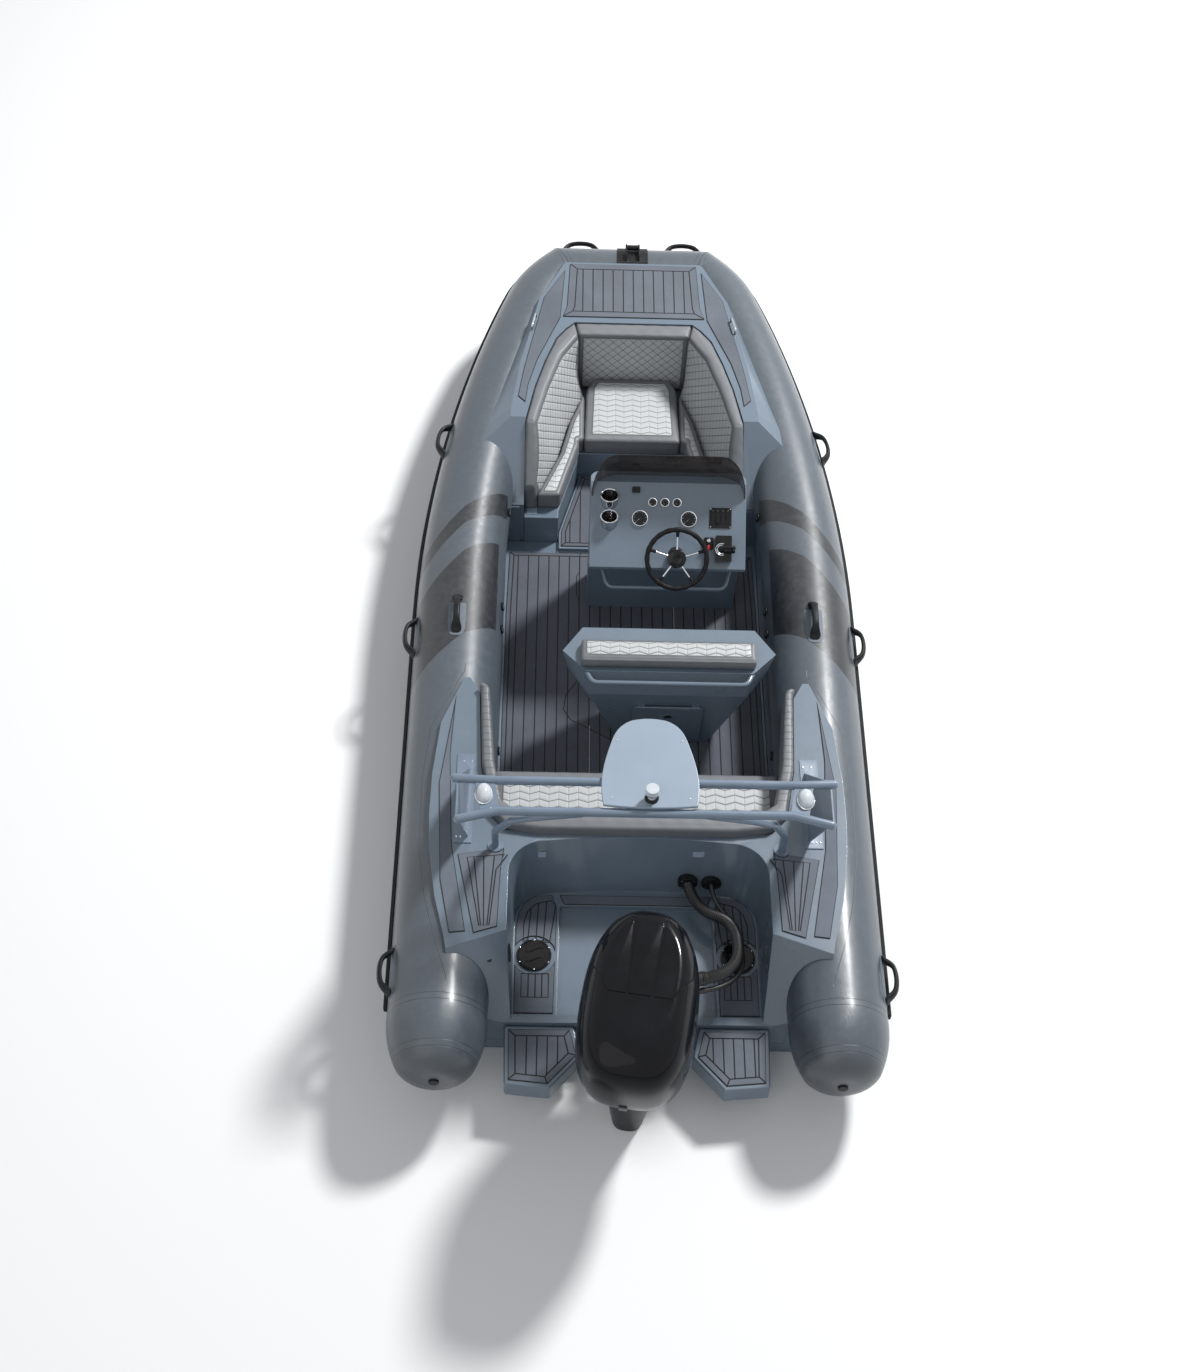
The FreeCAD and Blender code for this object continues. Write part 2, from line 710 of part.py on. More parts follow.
def bow_seat_base():
    """U-shaped seat moulding inside the lounge."""
    half = lounge_room(-SEAT)
    half[-1] = (half[-1][0], LOUNGE_AFT_Y)
    outline = mirror_outline(list(reversed(half)))
    low = HULL_TOP_Z + SEAT
    body = prism(outline, low, SEAT_BASE_Z)
    foot = [(443, 3200), (443, 3410), (328, 3845), (328, 3886)]
    body = body.cut(prism(mirror_outline(foot), low - 5, SEAT_BASE_Z + 5))
    body = body.common(above_skin(HULL_SKIN + SEAT))
    return main_solid(off_tubes(body).cut(hull_room(SEAT)))


def bow_cushions():
    """Centre cushion and the two side cushions."""
    low = SEAT_BASE_Z + SEAT
    high = low + CUSHION_T
    half = [(292, 3888), (278, 4330), (240, 4425)]
    centre = prism(mirror_outline(half), low, high)
    side = prism([(330, 3845), (440, 3432), (572, 3428), (438, 3777), (380, 4047), (298, 4290), (298, 3900),
                  (330, 3890)], low, high)
    return centre, side, mirrored(side)


def bow_backrests():
    """Upright cushions along the lounge's wall."""
    low = SEAT_BASE_Z + SEAT
    high = BACKREST_TOP_Z
    front = prism([(-338, 4447), (338, 4447), (358, 4548), (-358, 4548)], low, high)
    outer = [(652, 3420), (646, 3710), (596, 3997), (540, 4212), (476, 4406), (416, 4496), (366, 4548)]
    foot = [(345, 4440), (288, 4330), (386, 4047), (444, 3777), (579, 3420)]
    head = [(345, 4440), (453, 4260), (528, 3999), (594, 3695), (612, 3420)]
    side = Part.makeLoft([ring(foot + outer, low), ring(head + outer, high)], True, True)
    side = outward(side).cut(slant(-30))
    return front, side, mirrored(side)


def bow_deck_pads():
    """Non-slip pads on the bow deck and its shoulders."""
    low = DECK_Z + SEAT
    half = [(400, 5085), (415, 4700), (440, 4600)]
    centre = prism(mirror_outline(half), low, low + PAD_T)
    side = prism([(430, 5030), (560, 4770), (612, 4450), (668, 4150), (700, 3900), (655, 3850), (640, 4000),
                  (590, 4215), (520, 4420), (455, 4590)], low, low + PAD_T)
    return Part.makeCompound([centre, side, mirrored(side)])


# Stern

STERN_EDGE = [(905, 60), (943, 91), (976, 271), (1034, 506), (1075, 808), (1085, 994), (1082, 1248),
              (1052, 1580), (940, 1885)]
STERN_INNER = [(905, 1885), (850, 1780), (826, 1300), (775, 1000), (690, 905), (500, 885), (0, 885)]
BENCH_BASE_Z = 385.0
WELL_CORNER_R = 190.0
WELL_BOW = 25.0
WELL_SLOPE = 70.0
WELL_DRAFT = 30.0


def well_ring(z, half, front):
    """Plan of the engine well: straight sides, round forward corners, bowed front wall."""
    turn = WELL_CORNER_R
    shoulder = front - WELL_BOW
    fore = Part.Arc(vec(half - turn, shoulder, z), vec(0, front, z), vec(turn - half, shoulder, z))
    return Part.Wire([
        Part.makeLine(vec(-half, -50, z), vec(half, -50, z)),
        Part.makeLine(vec(half, -50, z), vec(half, shoulder - turn, z)),
        corner(half, shoulder, turn, 1, z), fore.toShape(), corner(-half, shoulder, turn, -1, z),
        Part.makeLine(vec(-half, shoulder - turn, z), vec(-half, -50, z)),
    ])


def well_prism(low, high):
    """Room of the engine well, its front wall leaning forward and its sides opening upward."""
    height = STERN_DECK_Z - WELL_FLOOR_Z
    rings = []
    for z in (low, high):
        climb = (z - WELL_FLOOR_Z) / height
        half = WELL_HALF - WELL_DRAFT * (1.0 - climb)
        rings.append(well_ring(z, half, WELL_FRONT_Y + WELL_SLOPE * climb))
    return Part.makeLoft(rings, True, True)


def stern_deck():
    """Stern moulding: side decks, engine well and the wall behind the bench."""
    low = HULL_TOP_Z + SEAT
    outline = mirror_outline(STERN_EDGE + STERN_INNER)
    upper = prism(outline, 450, STERN_DECK_Z)
    lower = prism(mirror_outline([(800, 0), (800, 905), (690, 905), (500, 885)]), low, 460)
    transom = prism([(-735, 0), (735, 0), (860, 200), (-860, 200)], low, 460)
    body = upper.fuse(lower).fuse(transom)
    body = body.cut(well_prism(WELL_FLOOR_Z, STERN_DECK_Z + 40))
    body = body.fuse(block(-WELL_HALF, WELL_HALF, 0, TRANSOM_T, 200, TRANSOM_TOP_Z))
    recess = prism([(-410, TRANSOM_T + 5), (410, TRANSOM_T + 5), (398, 700), (-398, 700)],
                   WELL_FLOOR_Z - 35, WELL_FLOOR_Z + 100)
    body = body.cut(recess)
    a = vec(679, 311, STERN_DECK_Z)
    b = vec(850, 247, STERN_DECK_Z)
    c = vec(672, 10, TRANSOM_TOP_Z + 5)
    normal = (b - a).cross(c - a).normalize()
    if normal.z < 0:
        normal = normal * -1
    facet = Part.makeBox(1600, 1600, 600, vec(-800, -800, 0))
    facet.Placement = FreeCAD.Placement(a, FreeCAD.Rotation(vec(0, 0, 1), normal))
    facet = facet.common(block(0, 1500, -300, 800, TRANSOM_TOP_Z, 1500))
    body = body.cut(facet).cut(mirrored(facet)).cut(hull_room(SEAT))
    return main_solid(off_tubes(body))


def aft_seat_base():
    """Box under the stern bench."""
    low = HULL_TOP_Z + SEAT
    body = prism(mirror_outline([(500, 886), (770, 905), (770, 1370)]), low, BENCH_BASE_Z)
    return main_solid(off_tubes(body.cut(stern_keepout())).cut(hull_room(SEAT)))


def stern_keepout():
    """Room that the stern moulding's wall takes behind the bench."""
    half = [(800, 0), (800, 906), (690, 906), (500, 886)]
    return prism(mirror_outline(half), 0, 500)


def aft_cushion():
    low = BENCH_BASE_Z + SEAT
    body = prism([(-745, 992), (745, 992), (765, 1080), (765, 1385), (-765, 1385), (-765, 1080)], low, 500)
    return main_solid(off_tubes(body))


def aft_backrest():
    """One-piece U-shaped bolster."""
    half_out = [(858, 1810), (840, 1780), (818, 1300), (768, 1005), (686, 910), (500, 886)]
    half_in = [(500, 988), (640, 1000), (712, 1060), (760, 1300), (800, 1790), (828, 1818)]
    outline = half_out + [(-x, y) for x, y in reversed(half_out)]
    inner = [(-x, y) for x, y in reversed(half_in)] + half_in
    body = prism(outline + inner, 500 + SEAT, 712)
    low_part = prism([(-500, 886), (500, 886), (500, 988), (-500, 988)], BENCH_BASE_Z + SEAT, 505)
    return main_solid(off_tubes(body.fuse(low_part)))


BRACE_FOOT = (735.0, 805.0)
BRACE_FOOT_R = 40.0


def stern_pads():
    """Pads on the side decks."""
    low = STERN_DECK_Z + SEAT
    outline = [(977, 1760), (992, 1372), (960, 811), (870, 300), (950, 290), (1010, 600), (1043, 1186)]
    long_pad = prism(outline, low, low + PAD_T)
    short_pad = prism([(926, 749), (690, 790), (704, 660), (712, 330), (829, 290)], low, low + PAD_T)
    foot = Part.makeCylinder(BRACE_FOOT_R + 3, 40, vec(*BRACE_FOOT, low - 5))
    short_pad = short_pad.cut(long_pad).cut(foot)
    return Part.makeCompound([long_pad, short_pad, mirrored(long_pad), mirrored(short_pad)])


PLATES = [(527, 399)]


def well_pads():
    low = WELL_FLOOR_Z + SEAT
    outline = [(425, 65), (625, 65), (625, 575), (612, 655), (580, 715), (530, 752), (440, 762), (412, 680)]
    side = prism(outline, low, low + PAD_T)
    side = side.cut(Part.makeCylinder(112, 50, vec(PLATES[0][0], PLATES[0][1], low - 10)))
    strip = prism([(-375, 706), (375, 706), (398, 762), (-398, 762)], low, low + PAD_T)
    return Part.makeCompound([side, mirrored(side), strip])


def deck_plates():
    x, y = PLATES[0]
    plate = Part.makeCylinder(90, 10, vec(x, y, WELL_FLOOR_Z + SEAT))
    return both(plate)


PLATFORM = [(673, -SEAT), (317, -SEAT), (280, -167), (436, -346), (663, -324)]
PLATFORM_T = 125.0
PLATFORM_Z = 250.0


def platform():
    return prism(PLATFORM, PLATFORM_Z - PLATFORM_T, PLATFORM_Z)


def platform_pads():
    pad = prism([(650, -25), (338, -25), (305, -165), (445, -322), (642, -303)], PLATFORM_Z + SEAT,
                PLATFORM_Z + SEAT + PAD_T)
    return both(pad)


# Arch

ARCH_R = 22.0
ARCH_Z = 1300.0
LIGHT_X = 780.0
LIGHT_PLATE_T = 10.0
ARCH_PLATE_X = 25.0
ARCH_PLATE_T = 18.0
ARCH_FORE_Y = 775.0
ARCH_AFT_Y = 598.0
ARCH_LEG_T = 8.0
ARCH_BASE_T = 6.0


def arch_leg():
    """Starboard leg: a flat plate that leans inboard and rakes aft, on a long base plate."""
    foot_z = STERN_DECK_Z + SEAT
    foot = [(878, 860), (878 + ARCH_LEG_T, 860), (878 + ARCH_LEG_T, 1290), (878, 1290)]
    head = [(905, 560), (905 + ARCH_LEG_T, 560), (905 + ARCH_LEG_T, 800), (905, 800)]
    plate = Part.makeLoft([ring(foot, foot_z), ring(head, ARCH_Z)], True, True)
    base = block(858, 952, 818, 1372, foot_z, foot_z + ARCH_BASE_T)
    return plate.fuse(base)


def arch_brace():
    """Starboard brace from the side deck up to the aft cross tube, with its foot."""
    foot_z = STERN_DECK_Z + SEAT
    foot_x, foot_y = BRACE_FOOT
    route = [(foot_x, foot_y, foot_z + 4), (foot_x, foot_y, 800), (645, 655, 1130), (540, 612, 1225),
             (300, ARCH_AFT_Y, ARCH_Z - 10)]
    bar = bent_bar(route, [60, 90, 120], ARCH_R - 3)
    return bar.fuse(Part.makeCylinder(BRACE_FOOT_R, 8, vec(foot_x, foot_y, foot_z)))


def arch_frame():
    """Two cross tubes on side legs, with lower braces and plates for the side lights."""
    frame = None
    for tip_x, tip_y, turn_x, y in ((925, ARCH_FORE_Y + 10, 750, ARCH_FORE_Y), (898, 548, 712, ARCH_AFT_Y)):
        route = [(-tip_x, tip_y, ARCH_Z), (-turn_x, y, ARCH_Z), (turn_x, y, ARCH_Z), (tip_x, tip_y, ARCH_Z)]
        bar = bent_bar(route, 90, ARCH_R)
        for side in (-1, 1):
            bar = bar.fuse(Part.makeSphere(ARCH_R, vec(side * tip_x, tip_y, ARCH_Z)))
        frame = frame.fuse(bar) if frame else bar
    half = LIGHT_PLATE_T / 2
    plate = prism([(734, ARCH_FORE_Y + 8), (826, ARCH_FORE_Y + 8), (792, 590), (700, 590)],
                  ARCH_Z - half, ARCH_Z + half)
    for piece in (plate, arch_leg(), arch_brace()):
        frame = frame.fuse(piece).fuse(mirrored(piece))
    return frame


def arch_plate():
    """Egg-shaped equipment plate on top of the cross tubes."""
    z = ARCH_Z + ARCH_R + SEAT
    outline = [(86, 1122), (160, 1060), (194, 975), (237, 760), (228, 618)]
    points = [vec(ARCH_PLATE_X + x, y, z) for x, y in outline]
    points += [vec(ARCH_PLATE_X - x, y, z) for x, y in reversed(outline)]
    sides = []
    for row in (points[:5], points[5:]):
        side = Part.BSplineCurve()
        side.interpolate(row)
        sides.append(side.toShape())
    aft = Part.Arc(points[4], vec(ARCH_PLATE_X, 604, z), points[5]).toShape()
    fore = Part.Arc(points[9], vec(ARCH_PLATE_X, 1134, z), points[0]).toShape()
    return Part.Face(Part.Wire([sides[0], aft, sides[1], fore])).extrude(vec(0, 0, ARCH_PLATE_T))


def arch_lights():
    """Oval side lights on the plates between the cross tubes."""
    light = Part.makeSphere(1.0)
    matrix = FreeCAD.Matrix()
    matrix.scale(42, 58, 44)
    light = light.transformGeometry(matrix)
    base = ARCH_Z + LIGHT_PLATE_T / 2 + SEAT
    light.translate(vec(LIGHT_X, 690, base))
    return both(main_solid(light.common(block(600, 1000, 500, 900, base, base + 100))))


def masthead_light():
    base = vec(30, 659, ARCH_Z + ARCH_R + ARCH_PLATE_T + 2 * SEAT)
    stem = Part.makeCylinder(22, 45, base)
    return stem.fuse(Part.makeCylinder(32, 40, base + vec(0, 0, 45)))


# Fittings on the tubes

HANDLE_R = 12.0
HANDLE_FOOT_R = 27.0
HANDLE_SPAN = 205.0
HANDLE_HEIGHT = 70.0
SIDE_HANDLE_Y = (164.0, 2295.0, 3714.0)
SIDE_HANDLE_TILT = math.radians(20)
TOP_HANDLE_Y = 2343.0
BOW_HANDLE_X = 331.0
BOW_HANDLE_TILT = math.radians(20)


def tube_surface(y, out):
    """Point just over the starboard tube's skin in one direction."""
    x, z, r, heading = tube_at(y)
    return vec(x, y, z) + out * (r + CURVED_SEAT)


def grab_handle(a, b, out, height):
    """Moulded loop handle: an arched grip on two broad feet."""
    along = (b - a).normalize()
    rise = height - HANDLE_R
    route = [a + out * 4, a + out * rise + along * 22, b + out * rise - along * 22, b + out * 4]
    bar = bent_bar([tuple(p) for p in route], 26, HANDLE_R)
    for foot, inward in ((a, along), (b, along * -1)):
        bar = bar.fuse(Part.makeCone(HANDLE_FOOT_R, HANDLE_R + 2, 26, foot + inward * 2, out))
    return bar


def side_handles():
    handles = []
    for y in SIDE_HANDLE_Y:
        heading = tube_at(y)[3]
        level = math.cos(SIDE_HANDLE_TILT)
        out = vec(math.cos(heading) * level, math.sin(heading) * level, math.sin(SIDE_HANDLE_TILT))
        ends = [tube_surface(y + step, out) for step in (-HANDLE_SPAN / 2, HANDLE_SPAN / 2)]
        handles.append(grab_handle(*ends, out, HANDLE_HEIGHT))
    return Part.makeCompound(handles + [mirrored(h) for h in handles])


def top_handles():
    out = vec(0, 0, 1)
    ends = [tube_surface(TOP_HANDLE_Y + step, out) for step in (-HANDLE_SPAN / 2, HANDLE_SPAN / 2)]
    return both(grab_handle(*ends, out, HANDLE_HEIGHT))


def bow_handles():
    x, z, r, heading = tube_at(BOW_TUBE_Y)
    out = vec(0, math.cos(BOW_HANDLE_TILT), math.sin(BOW_HANDLE_TILT))
    middle = vec(BOW_HANDLE_X, BOW_TUBE_Y, z) + out * (r + SEAT)
    reach = vec(HANDLE_SPAN / 2, 0, 0)
    return both(grab_handle(middle - reach, middle + reach, out, HANDLE_HEIGHT))


def air_valves():
    """Valve caps on the tubes' inner sides and cone ends."""
    caps = []
    for y, tilt_deg in ((1580, 2), (2392, 13), (2553, 13), (3254, 14)):
        x, z, r, heading = tube_at(y)
        tilt = math.radians(tilt_deg)
        out = vec(-math.cos(heading) * math.cos(tilt), -math.sin(heading) * math.cos(tilt), math.sin(tilt))
        caps.append(Part.makeCylinder(26, 9, vec(x, y, z) + out * (r + CURVED_SEAT), out))
    cone_end = vec(TUBE_HALF_SPACING, -CONE_LENGTH - SEAT, TUBE_Z)
    caps.append(Part.makeCylinder(26, 9, cone_end, vec(0, -1, 0)))
    return Part.makeCompound(caps + [mirrored(c) for c in caps])


ROLLER_R = 17.0
CHEEK_X = 36.0
CHEEK_T = 9.0


def bow_roller():
    """Fairlead on the bow tube: a saddle, two pentagonal cheeks and a roller."""
    x, z, r, heading = tube_at(BOW_TUBE_Y)
    top = z + r
    tube = rod(vec(-600, BOW_TUBE_Y, z), vec(600, BOW_TUBE_Y, z), r + SEAT)
    saddle = rod(vec(-98, BOW_TUBE_Y, z), vec(98, BOW_TUBE_Y, z), r + 10)
    saddle = saddle.common(block(-98, 98, BOW_TUBE_Y - 75, BOW_TUBE_Y + 112, z, top + 20))
    outline = [(BOW_TUBE_Y - 60, top - 20), (BOW_TUBE_Y + 96, top - 45), (BOW_TUBE_Y + 112, top + 16),
               (BOW_TUBE_Y + 62, top + 52), (BOW_TUBE_Y - 22, top + 40)]
    cheek = side_prism(outline, CHEEK_X, CHEEK_X + CHEEK_T)
    axle_y, axle_z = BOW_TUBE_Y + 66, top + 24
    roller = rod(vec(-CHEEK_X, axle_y, axle_z), vec(CHEEK_X, axle_y, axle_z), ROLLER_R)
    return main_solid(saddle.fuse(cheek).fuse(mirrored(cheek)).fuse(roller).cut(tube))


def cleats():
    bar = bent_bar([(627, 4480, DECK_Z + SEAT), (627, 4480, DECK_Z + 36), (606, 4590, DECK_Z + 36),
                    (606, 4590, DECK_Z + SEAT)], 14, 7)
    return both(bar)


# Engine

TILT_PIN_R = 14.0


def clamp_bracket():
    """Two cheeks and a plate hung over the transom, with the tilt pin."""
    outline = [(-SEAT, 10), (-SEAT, TRANSOM_TOP_Z + SEAT), (TRANSOM_T + SEAT, TRANSOM_TOP_Z + SEAT),
               (TRANSOM_T + SEAT, 262), (TRANSOM_T + 22, 262), (TRANSOM_T + 22, 330), (24, 372), (-24, 372),
               (-62, 330), (-62, 40), (-30, 10)]
    cheek = side_prism(outline, 82, 108)
    plate = block(-108, 108, -14, -SEAT, 20, TRANSOM_TOP_Z - 10)
    pin = rod(vec(-125, TILT_Y, TILT_Z), vec(125, TILT_Y, TILT_Z), TILT_PIN_R)
    return cheek.fuse(mirrored(cheek)).fuse(plate).fuse(pin)


STEER_PIN_R = 20.0
STEER_TUBE_R = 44.0
ARM_X = 40.0
ARM_T = 34.0
ARM_AFT_Y = -104.0


def swivel_bracket():
    """Arms on the tilt pin and the long steering tube."""
    fore = TILT_Y + 28
    arm = side_prism([(fore, TILT_Z - 22), (fore, TILT_Z + 22), (-60, TILT_Z + 66), (ARM_AFT_Y, TILT_Z + 66),
                      (ARM_AFT_Y, TILT_Z - 20), (-60, TILT_Z - 40)], ARM_X, ARM_X + ARM_T)
    web = block(-ARM_X - ARM_T, ARM_X + ARM_T, ARM_AFT_Y, -58, TILT_Z + 20, TILT_Z + 66)
    tube = Part.makeCylinder(STEER_TUBE_R, 390, vec(0, STEER_Y, TILT_Z - 324))
    body = arm.fuse(mirrored(arm)).fuse(web).fuse(tube)
    body = body.cut(rod(vec(-200, TILT_Y, TILT_Z), vec(200, TILT_Y, TILT_Z), TILT_PIN_R + RUN))
    return body.cut(Part.makeCylinder(STEER_PIN_R + RUN, 800, vec(0, STEER_Y, -200)))


def cowl_ring(z, front, aft, half):
    """Plan section of the cowl, narrower at its front."""
    count = 16
    power = 2.0 / 3.0
    middle = 0.5 * (front + aft)
    reach = 0.5 * (front - aft)
    points = []
    for i in range(count):
        angle = 2.0 * math.pi * i / count
        c, s = math.cos(angle), math.sin(angle)
        y = middle + reach * math.copysign(abs(s) ** power, s)
        width = half * (1.0 - 0.26 * max(0.0, s) ** 1.5)
        points.append(vec(width * math.copysign(abs(c) ** power, c), y, z))
    curve = Part.BSplineCurve()
    curve.interpolate(points, PeriodicFlag=True)
    return Part.Wire(curve.toShape())


# Cowl sections: height, front, aft, half width
COWL = [(575, 95, -520, 215), (640, 150, -630, 248), (800, 178, -695, 280), (950, 192, -718, 278),
        (1080, 180, -700, 262), (1160, 135, -630, 222), (1200, 50, -480, 150)]
COWL_SEAM_Z = (632.0, 640.0)
COWL_GROOVE = 7.0
PANEL_LIFT = 5.0


def steered(shape):
    shape.rotate(vec(0, STEER_Y, 0), vec(0, 0, 1), STEER_REST)
    return shape


def cowl_solid(grow):
    rings = [cowl_ring(z, front + grow, aft - grow, half + grow) for z, front, aft, half in COWL]
    return steered(outward(Part.makeLoft(rings, True, False)))


def engine_cowl():
    """Cowl with a seam round its foot and three raised panels on top."""
    low, high = COWL_SEAM_Z
    seam = block(-500, 500, -900, 400, low, high).cut(cowl_solid(-COWL_GROOVE))
    body = cowl_solid(0).cut(seam)
    raised = cowl_solid(PANEL_LIFT)
    raised.translate(vec(0, 0, PANEL_LIFT))
    strip = [(66, 98), (52, -330), (-52, -330), (-66, 98)]
    flank = [(79, 98), (170, 84), (228, -40), (232, -190), (150, -330), (65, -330)]
    outlines = [strip, flank, [(-x, y) for x, y in flank]]
    for outline in outlines:
        body = body.fuse(steered(prism(outline, 1010, 1300)).common(raised))
    return main_solid(body)


GEARCASE_R = 58.0
PLATE_Z = -262.0
LEG_FOOT_Z = -275.0
PROP_Y = -600.0
PROP_SHAFT_R = 12.0


def gearcase():
    """Bullet-shaped housing of the propeller shaft."""
    centre = vec(0, 0, PROP_Z)
    nose = vec(0, -96, PROP_Z)
    bulge = vec(0, -140, PROP_Z + 0.75 * GEARCASE_R)
    shoulder = vec(0, -240, PROP_Z + GEARCASE_R)
    waist = vec(0, -430, PROP_Z + GEARCASE_R)
    rear = vec(0, PROP_Y + 57, PROP_Z + GEARCASE_R - 8)
    end = vec(0, PROP_Y + 57, PROP_Z)
    edges = [Part.Arc(nose, bulge, shoulder).toShape()]
    runs = [shoulder, waist, rear, end, nose]
    edges += [Part.makeLine(a, b) for a, b in zip(runs, runs[1:])]
    return Part.Face(Part.Wire(edges)).revolve(centre, vec(0, 1, 0), 360)


def engine_leg():
    """Adaptor, exhaust housing, splash plate, gearcase and skeg, with the steering pin."""
    rows = [(574.7, 70, -520, 205), (500, -20, -490, 178), (440, -152, -485, 162), (200, -152, -470, 112),
            (0, -158, -455, 85), (-120, -162, -450, 64), (LEG_FOOT_Z, -168, -500, 50)]
    leg = outward(Part.makeLoft([cowl_ring(*row) for row in rows], True, True))
    plate = prism([(-95, -250), (-60, -190), (60, -190), (95, -250), (110, -480), (70, -640), (-70, -640),
                   (-110, -480)], LEG_FOOT_Z - 1, PLATE_Z)
    strut_rows = [(LEG_FOOT_Z, -172, -500, 46), (PROP_Z, -150, -470, 34)]
    strut = Part.makeLoft([cowl_ring(*row) for row in strut_rows], True, True)
    skeg_low = PROP_Z - 215
    skeg = side_prism([(-150, PROP_Z - 30), (-235, PROP_Z - 185), (-290, skeg_low), (-400, skeg_low),
                       (-430, PROP_Z - 30)], -7, 7)
    head = Part.makeCylinder(40, 115, vec(0, STEER_Y, 415))
    pin = Part.makeCylinder(STEER_PIN_R, 440, vec(0, STEER_Y, -25))
    foot = block(-30, 30, -230, STEER_Y + 30, -25, 8)
    shaft = Part.makeCylinder(PROP_SHAFT_R, 80, vec(0, PROP_Y - 10, PROP_Z), vec(0, 1, 0))
    for piece in (plate, strut, gearcase(), skeg, head, pin, foot, shaft):
        leg = leg.fuse(piece)
    return steered(leg)


# Blade stations: radius, chord, thickness, rake aft
BLADE = [(36, 66, 13, 0), (70, 108, 9, 5), (104, 128, 7, 12), (136, 116, 5, 20), (157, 76, 4, 26),
         (PROP_R, 30, 3, 29)]
BLADE_COUNT = 3
PROP_PITCH = 380.0
PROP_HUB_L = 110.0


def blade_section(radius, chord, thickness, rake):
    """Lens-shaped section across a blade, turned to the screw's pitch at its radius."""
    turn = math.atan2(PROP_PITCH, 2.0 * math.pi * radius)
    along = vec(math.cos(turn), -math.sin(turn), 0)
    normal = vec(math.sin(turn), math.cos(turn), 0)
    middle = vec(0, PROP_Y - rake, PROP_Z + radius)
    lead = middle - along * (chord / 2)
    trail = middle + along * (chord / 2)
    back = Part.Arc(lead, middle + normal * thickness * 0.75, trail).toShape()
    face = Part.Arc(trail, middle - normal * thickness * 0.25, lead).toShape()
    return Part.Wire([back, face])


def propeller():
    """Three twisted, raked blades on the exhaust hub."""
    fore_y = PROP_Y + PROP_HUB_L / 2
    screw = Part.makeCone(50, 42, PROP_HUB_L, vec(0, fore_y, PROP_Z), vec(0, -1, 0))
    blade = outward(Part.makeLoft([blade_section(*row) for row in BLADE], True, False))
    for i in range(BLADE_COUNT):
        turned = blade.copy()
        turned.rotate(vec(0, 0, PROP_Z), vec(0, 1, 0), 360.0 / BLADE_COUNT * i)
        screw = screw.fuse(turned)
    bore = Part.makeCylinder(PROP_SHAFT_R + RUN, 200, vec(0, PROP_Y - 100, PROP_Z), vec(0, 1, 0))
    return steered(screw.cut(bore))


FLANGES = [(270, 355), (394, 355)]
FLANGE_R = 52.0
FLANGE_Y = 778.0
HOSE_R = 30.0
HOSE_THIN_R = 13.0


def rigging_flanges():
    """Round collars on the well's front wall."""
    room = well_prism(WELL_FLOOR_Z, STERN_DECK_Z + 40)
    room.translate(vec(0, -SEAT, 0))
    rings = []
    for x, z in FLANGES:
        ring_body = Part.makeCylinder(FLANGE_R, 80, vec(x, FLANGE_Y, z), vec(0, 1, 0))
        rings.append(main_solid(ring_body.common(room)))
    return Part.makeCompound(rings)


HOSE_MAIN = [(270, FLANGE_Y + 10, 355), (300, 640, 340), (520, 540, 380), (500, 150, 545), (180, 45, 640)]
HOSE_THIN = [(394, FLANGE_Y + 10, 355), (400, 690, 335), (540, 520, 325), (530, 110, 510), (170, 0, 590)]


def rigging_hoses():
    """Wide loom hose and a thinner one, from the flanges round into the cowl."""
    room = cowl_solid(SEAT)
    for x, z in FLANGES:
        room = room.fuse(Part.makeCylinder(FLANGE_R, 60, vec(x, FLANGE_Y - SEAT, z), vec(0, 1, 0)))
    main = bent_bar(HOSE_MAIN, widest_bends(HOSE_MAIN), HOSE_R).cut(room)
    thin = bent_bar(HOSE_THIN, widest_bends(HOSE_THIN), HOSE_THIN_R).cut(room)
    return main_solid(main), main_solid(thin)


def joined(*shapes):
    """Non-touching solids that share one node."""
    solids = []
    for shape in shapes:
        solids += shape.Solids
    return Part.makeCompound(solids)


NODES = {
    "hull": hull,
    "tube_port": lambda: TUBE_PORT,
    "tube_starboard": lambda: TUBE_STARBOARD,
    "tube_bow": lambda: TUBE_BOW,
    "rub_strakes": rub_strakes,
    "grab_handles": lambda: joined(side_handles(), top_handles(), bow_handles()),
    "air_valves": air_valves,
    "bow_roller": bow_roller,
    "cleats": cleats,
    "bow_deck": bow_deck,
    "bow_seat_base": bow_seat_base,
    "bow_cushions": lambda: joined(*bow_cushions()),
    "bow_backrests": lambda: joined(*bow_backrests()),
    "cockpit_sole": cockpit_sole,
    "sole_pads": sole_pads,
    "deck_pads": lambda: joined(bow_deck_pads(), stern_pads(), well_pads(), platform_pads()),
    "console_body": console_body,
    "cup_holders": cup_holders,
    "instruments": instruments,
    "switch_panel": switch_panel,
    "windscreen": windscreen,
    "console_rail": console_rail,
    "helm_boss": helm_boss,
    "throttle": throttle,
    "steering_wheel": steering_wheel,
    "helm_seat_base": helm_seat_base,
    "helm_hatch": helm_hatch,
    "helm_cushion": helm_cushion,
    "helm_rail": helm_rail,
    "stern_deck": stern_deck,
    "aft_seat_base": aft_seat_base,
    "aft_cushion": aft_cushion,
    "aft_backrest": aft_backrest,
    "deck_plates": deck_plates,
    "platforms": lambda: both(platform()),
    "arch_frame": arch_frame,
    "arch_plate": arch_plate,
    "arch_lights": lambda: joined(arch_lights(), masthead_light()),
    "rigging_flanges": rigging_flanges,
    "rigging_hoses": lambda: joined(*rigging_hoses()),
    "clamp_bracket": clamp_bracket,
    "swivel_bracket": swivel_bracket,
    "engine_cowl": engine_cowl,
    "engine_leg": engine_leg,
    "propeller": propeller,
}

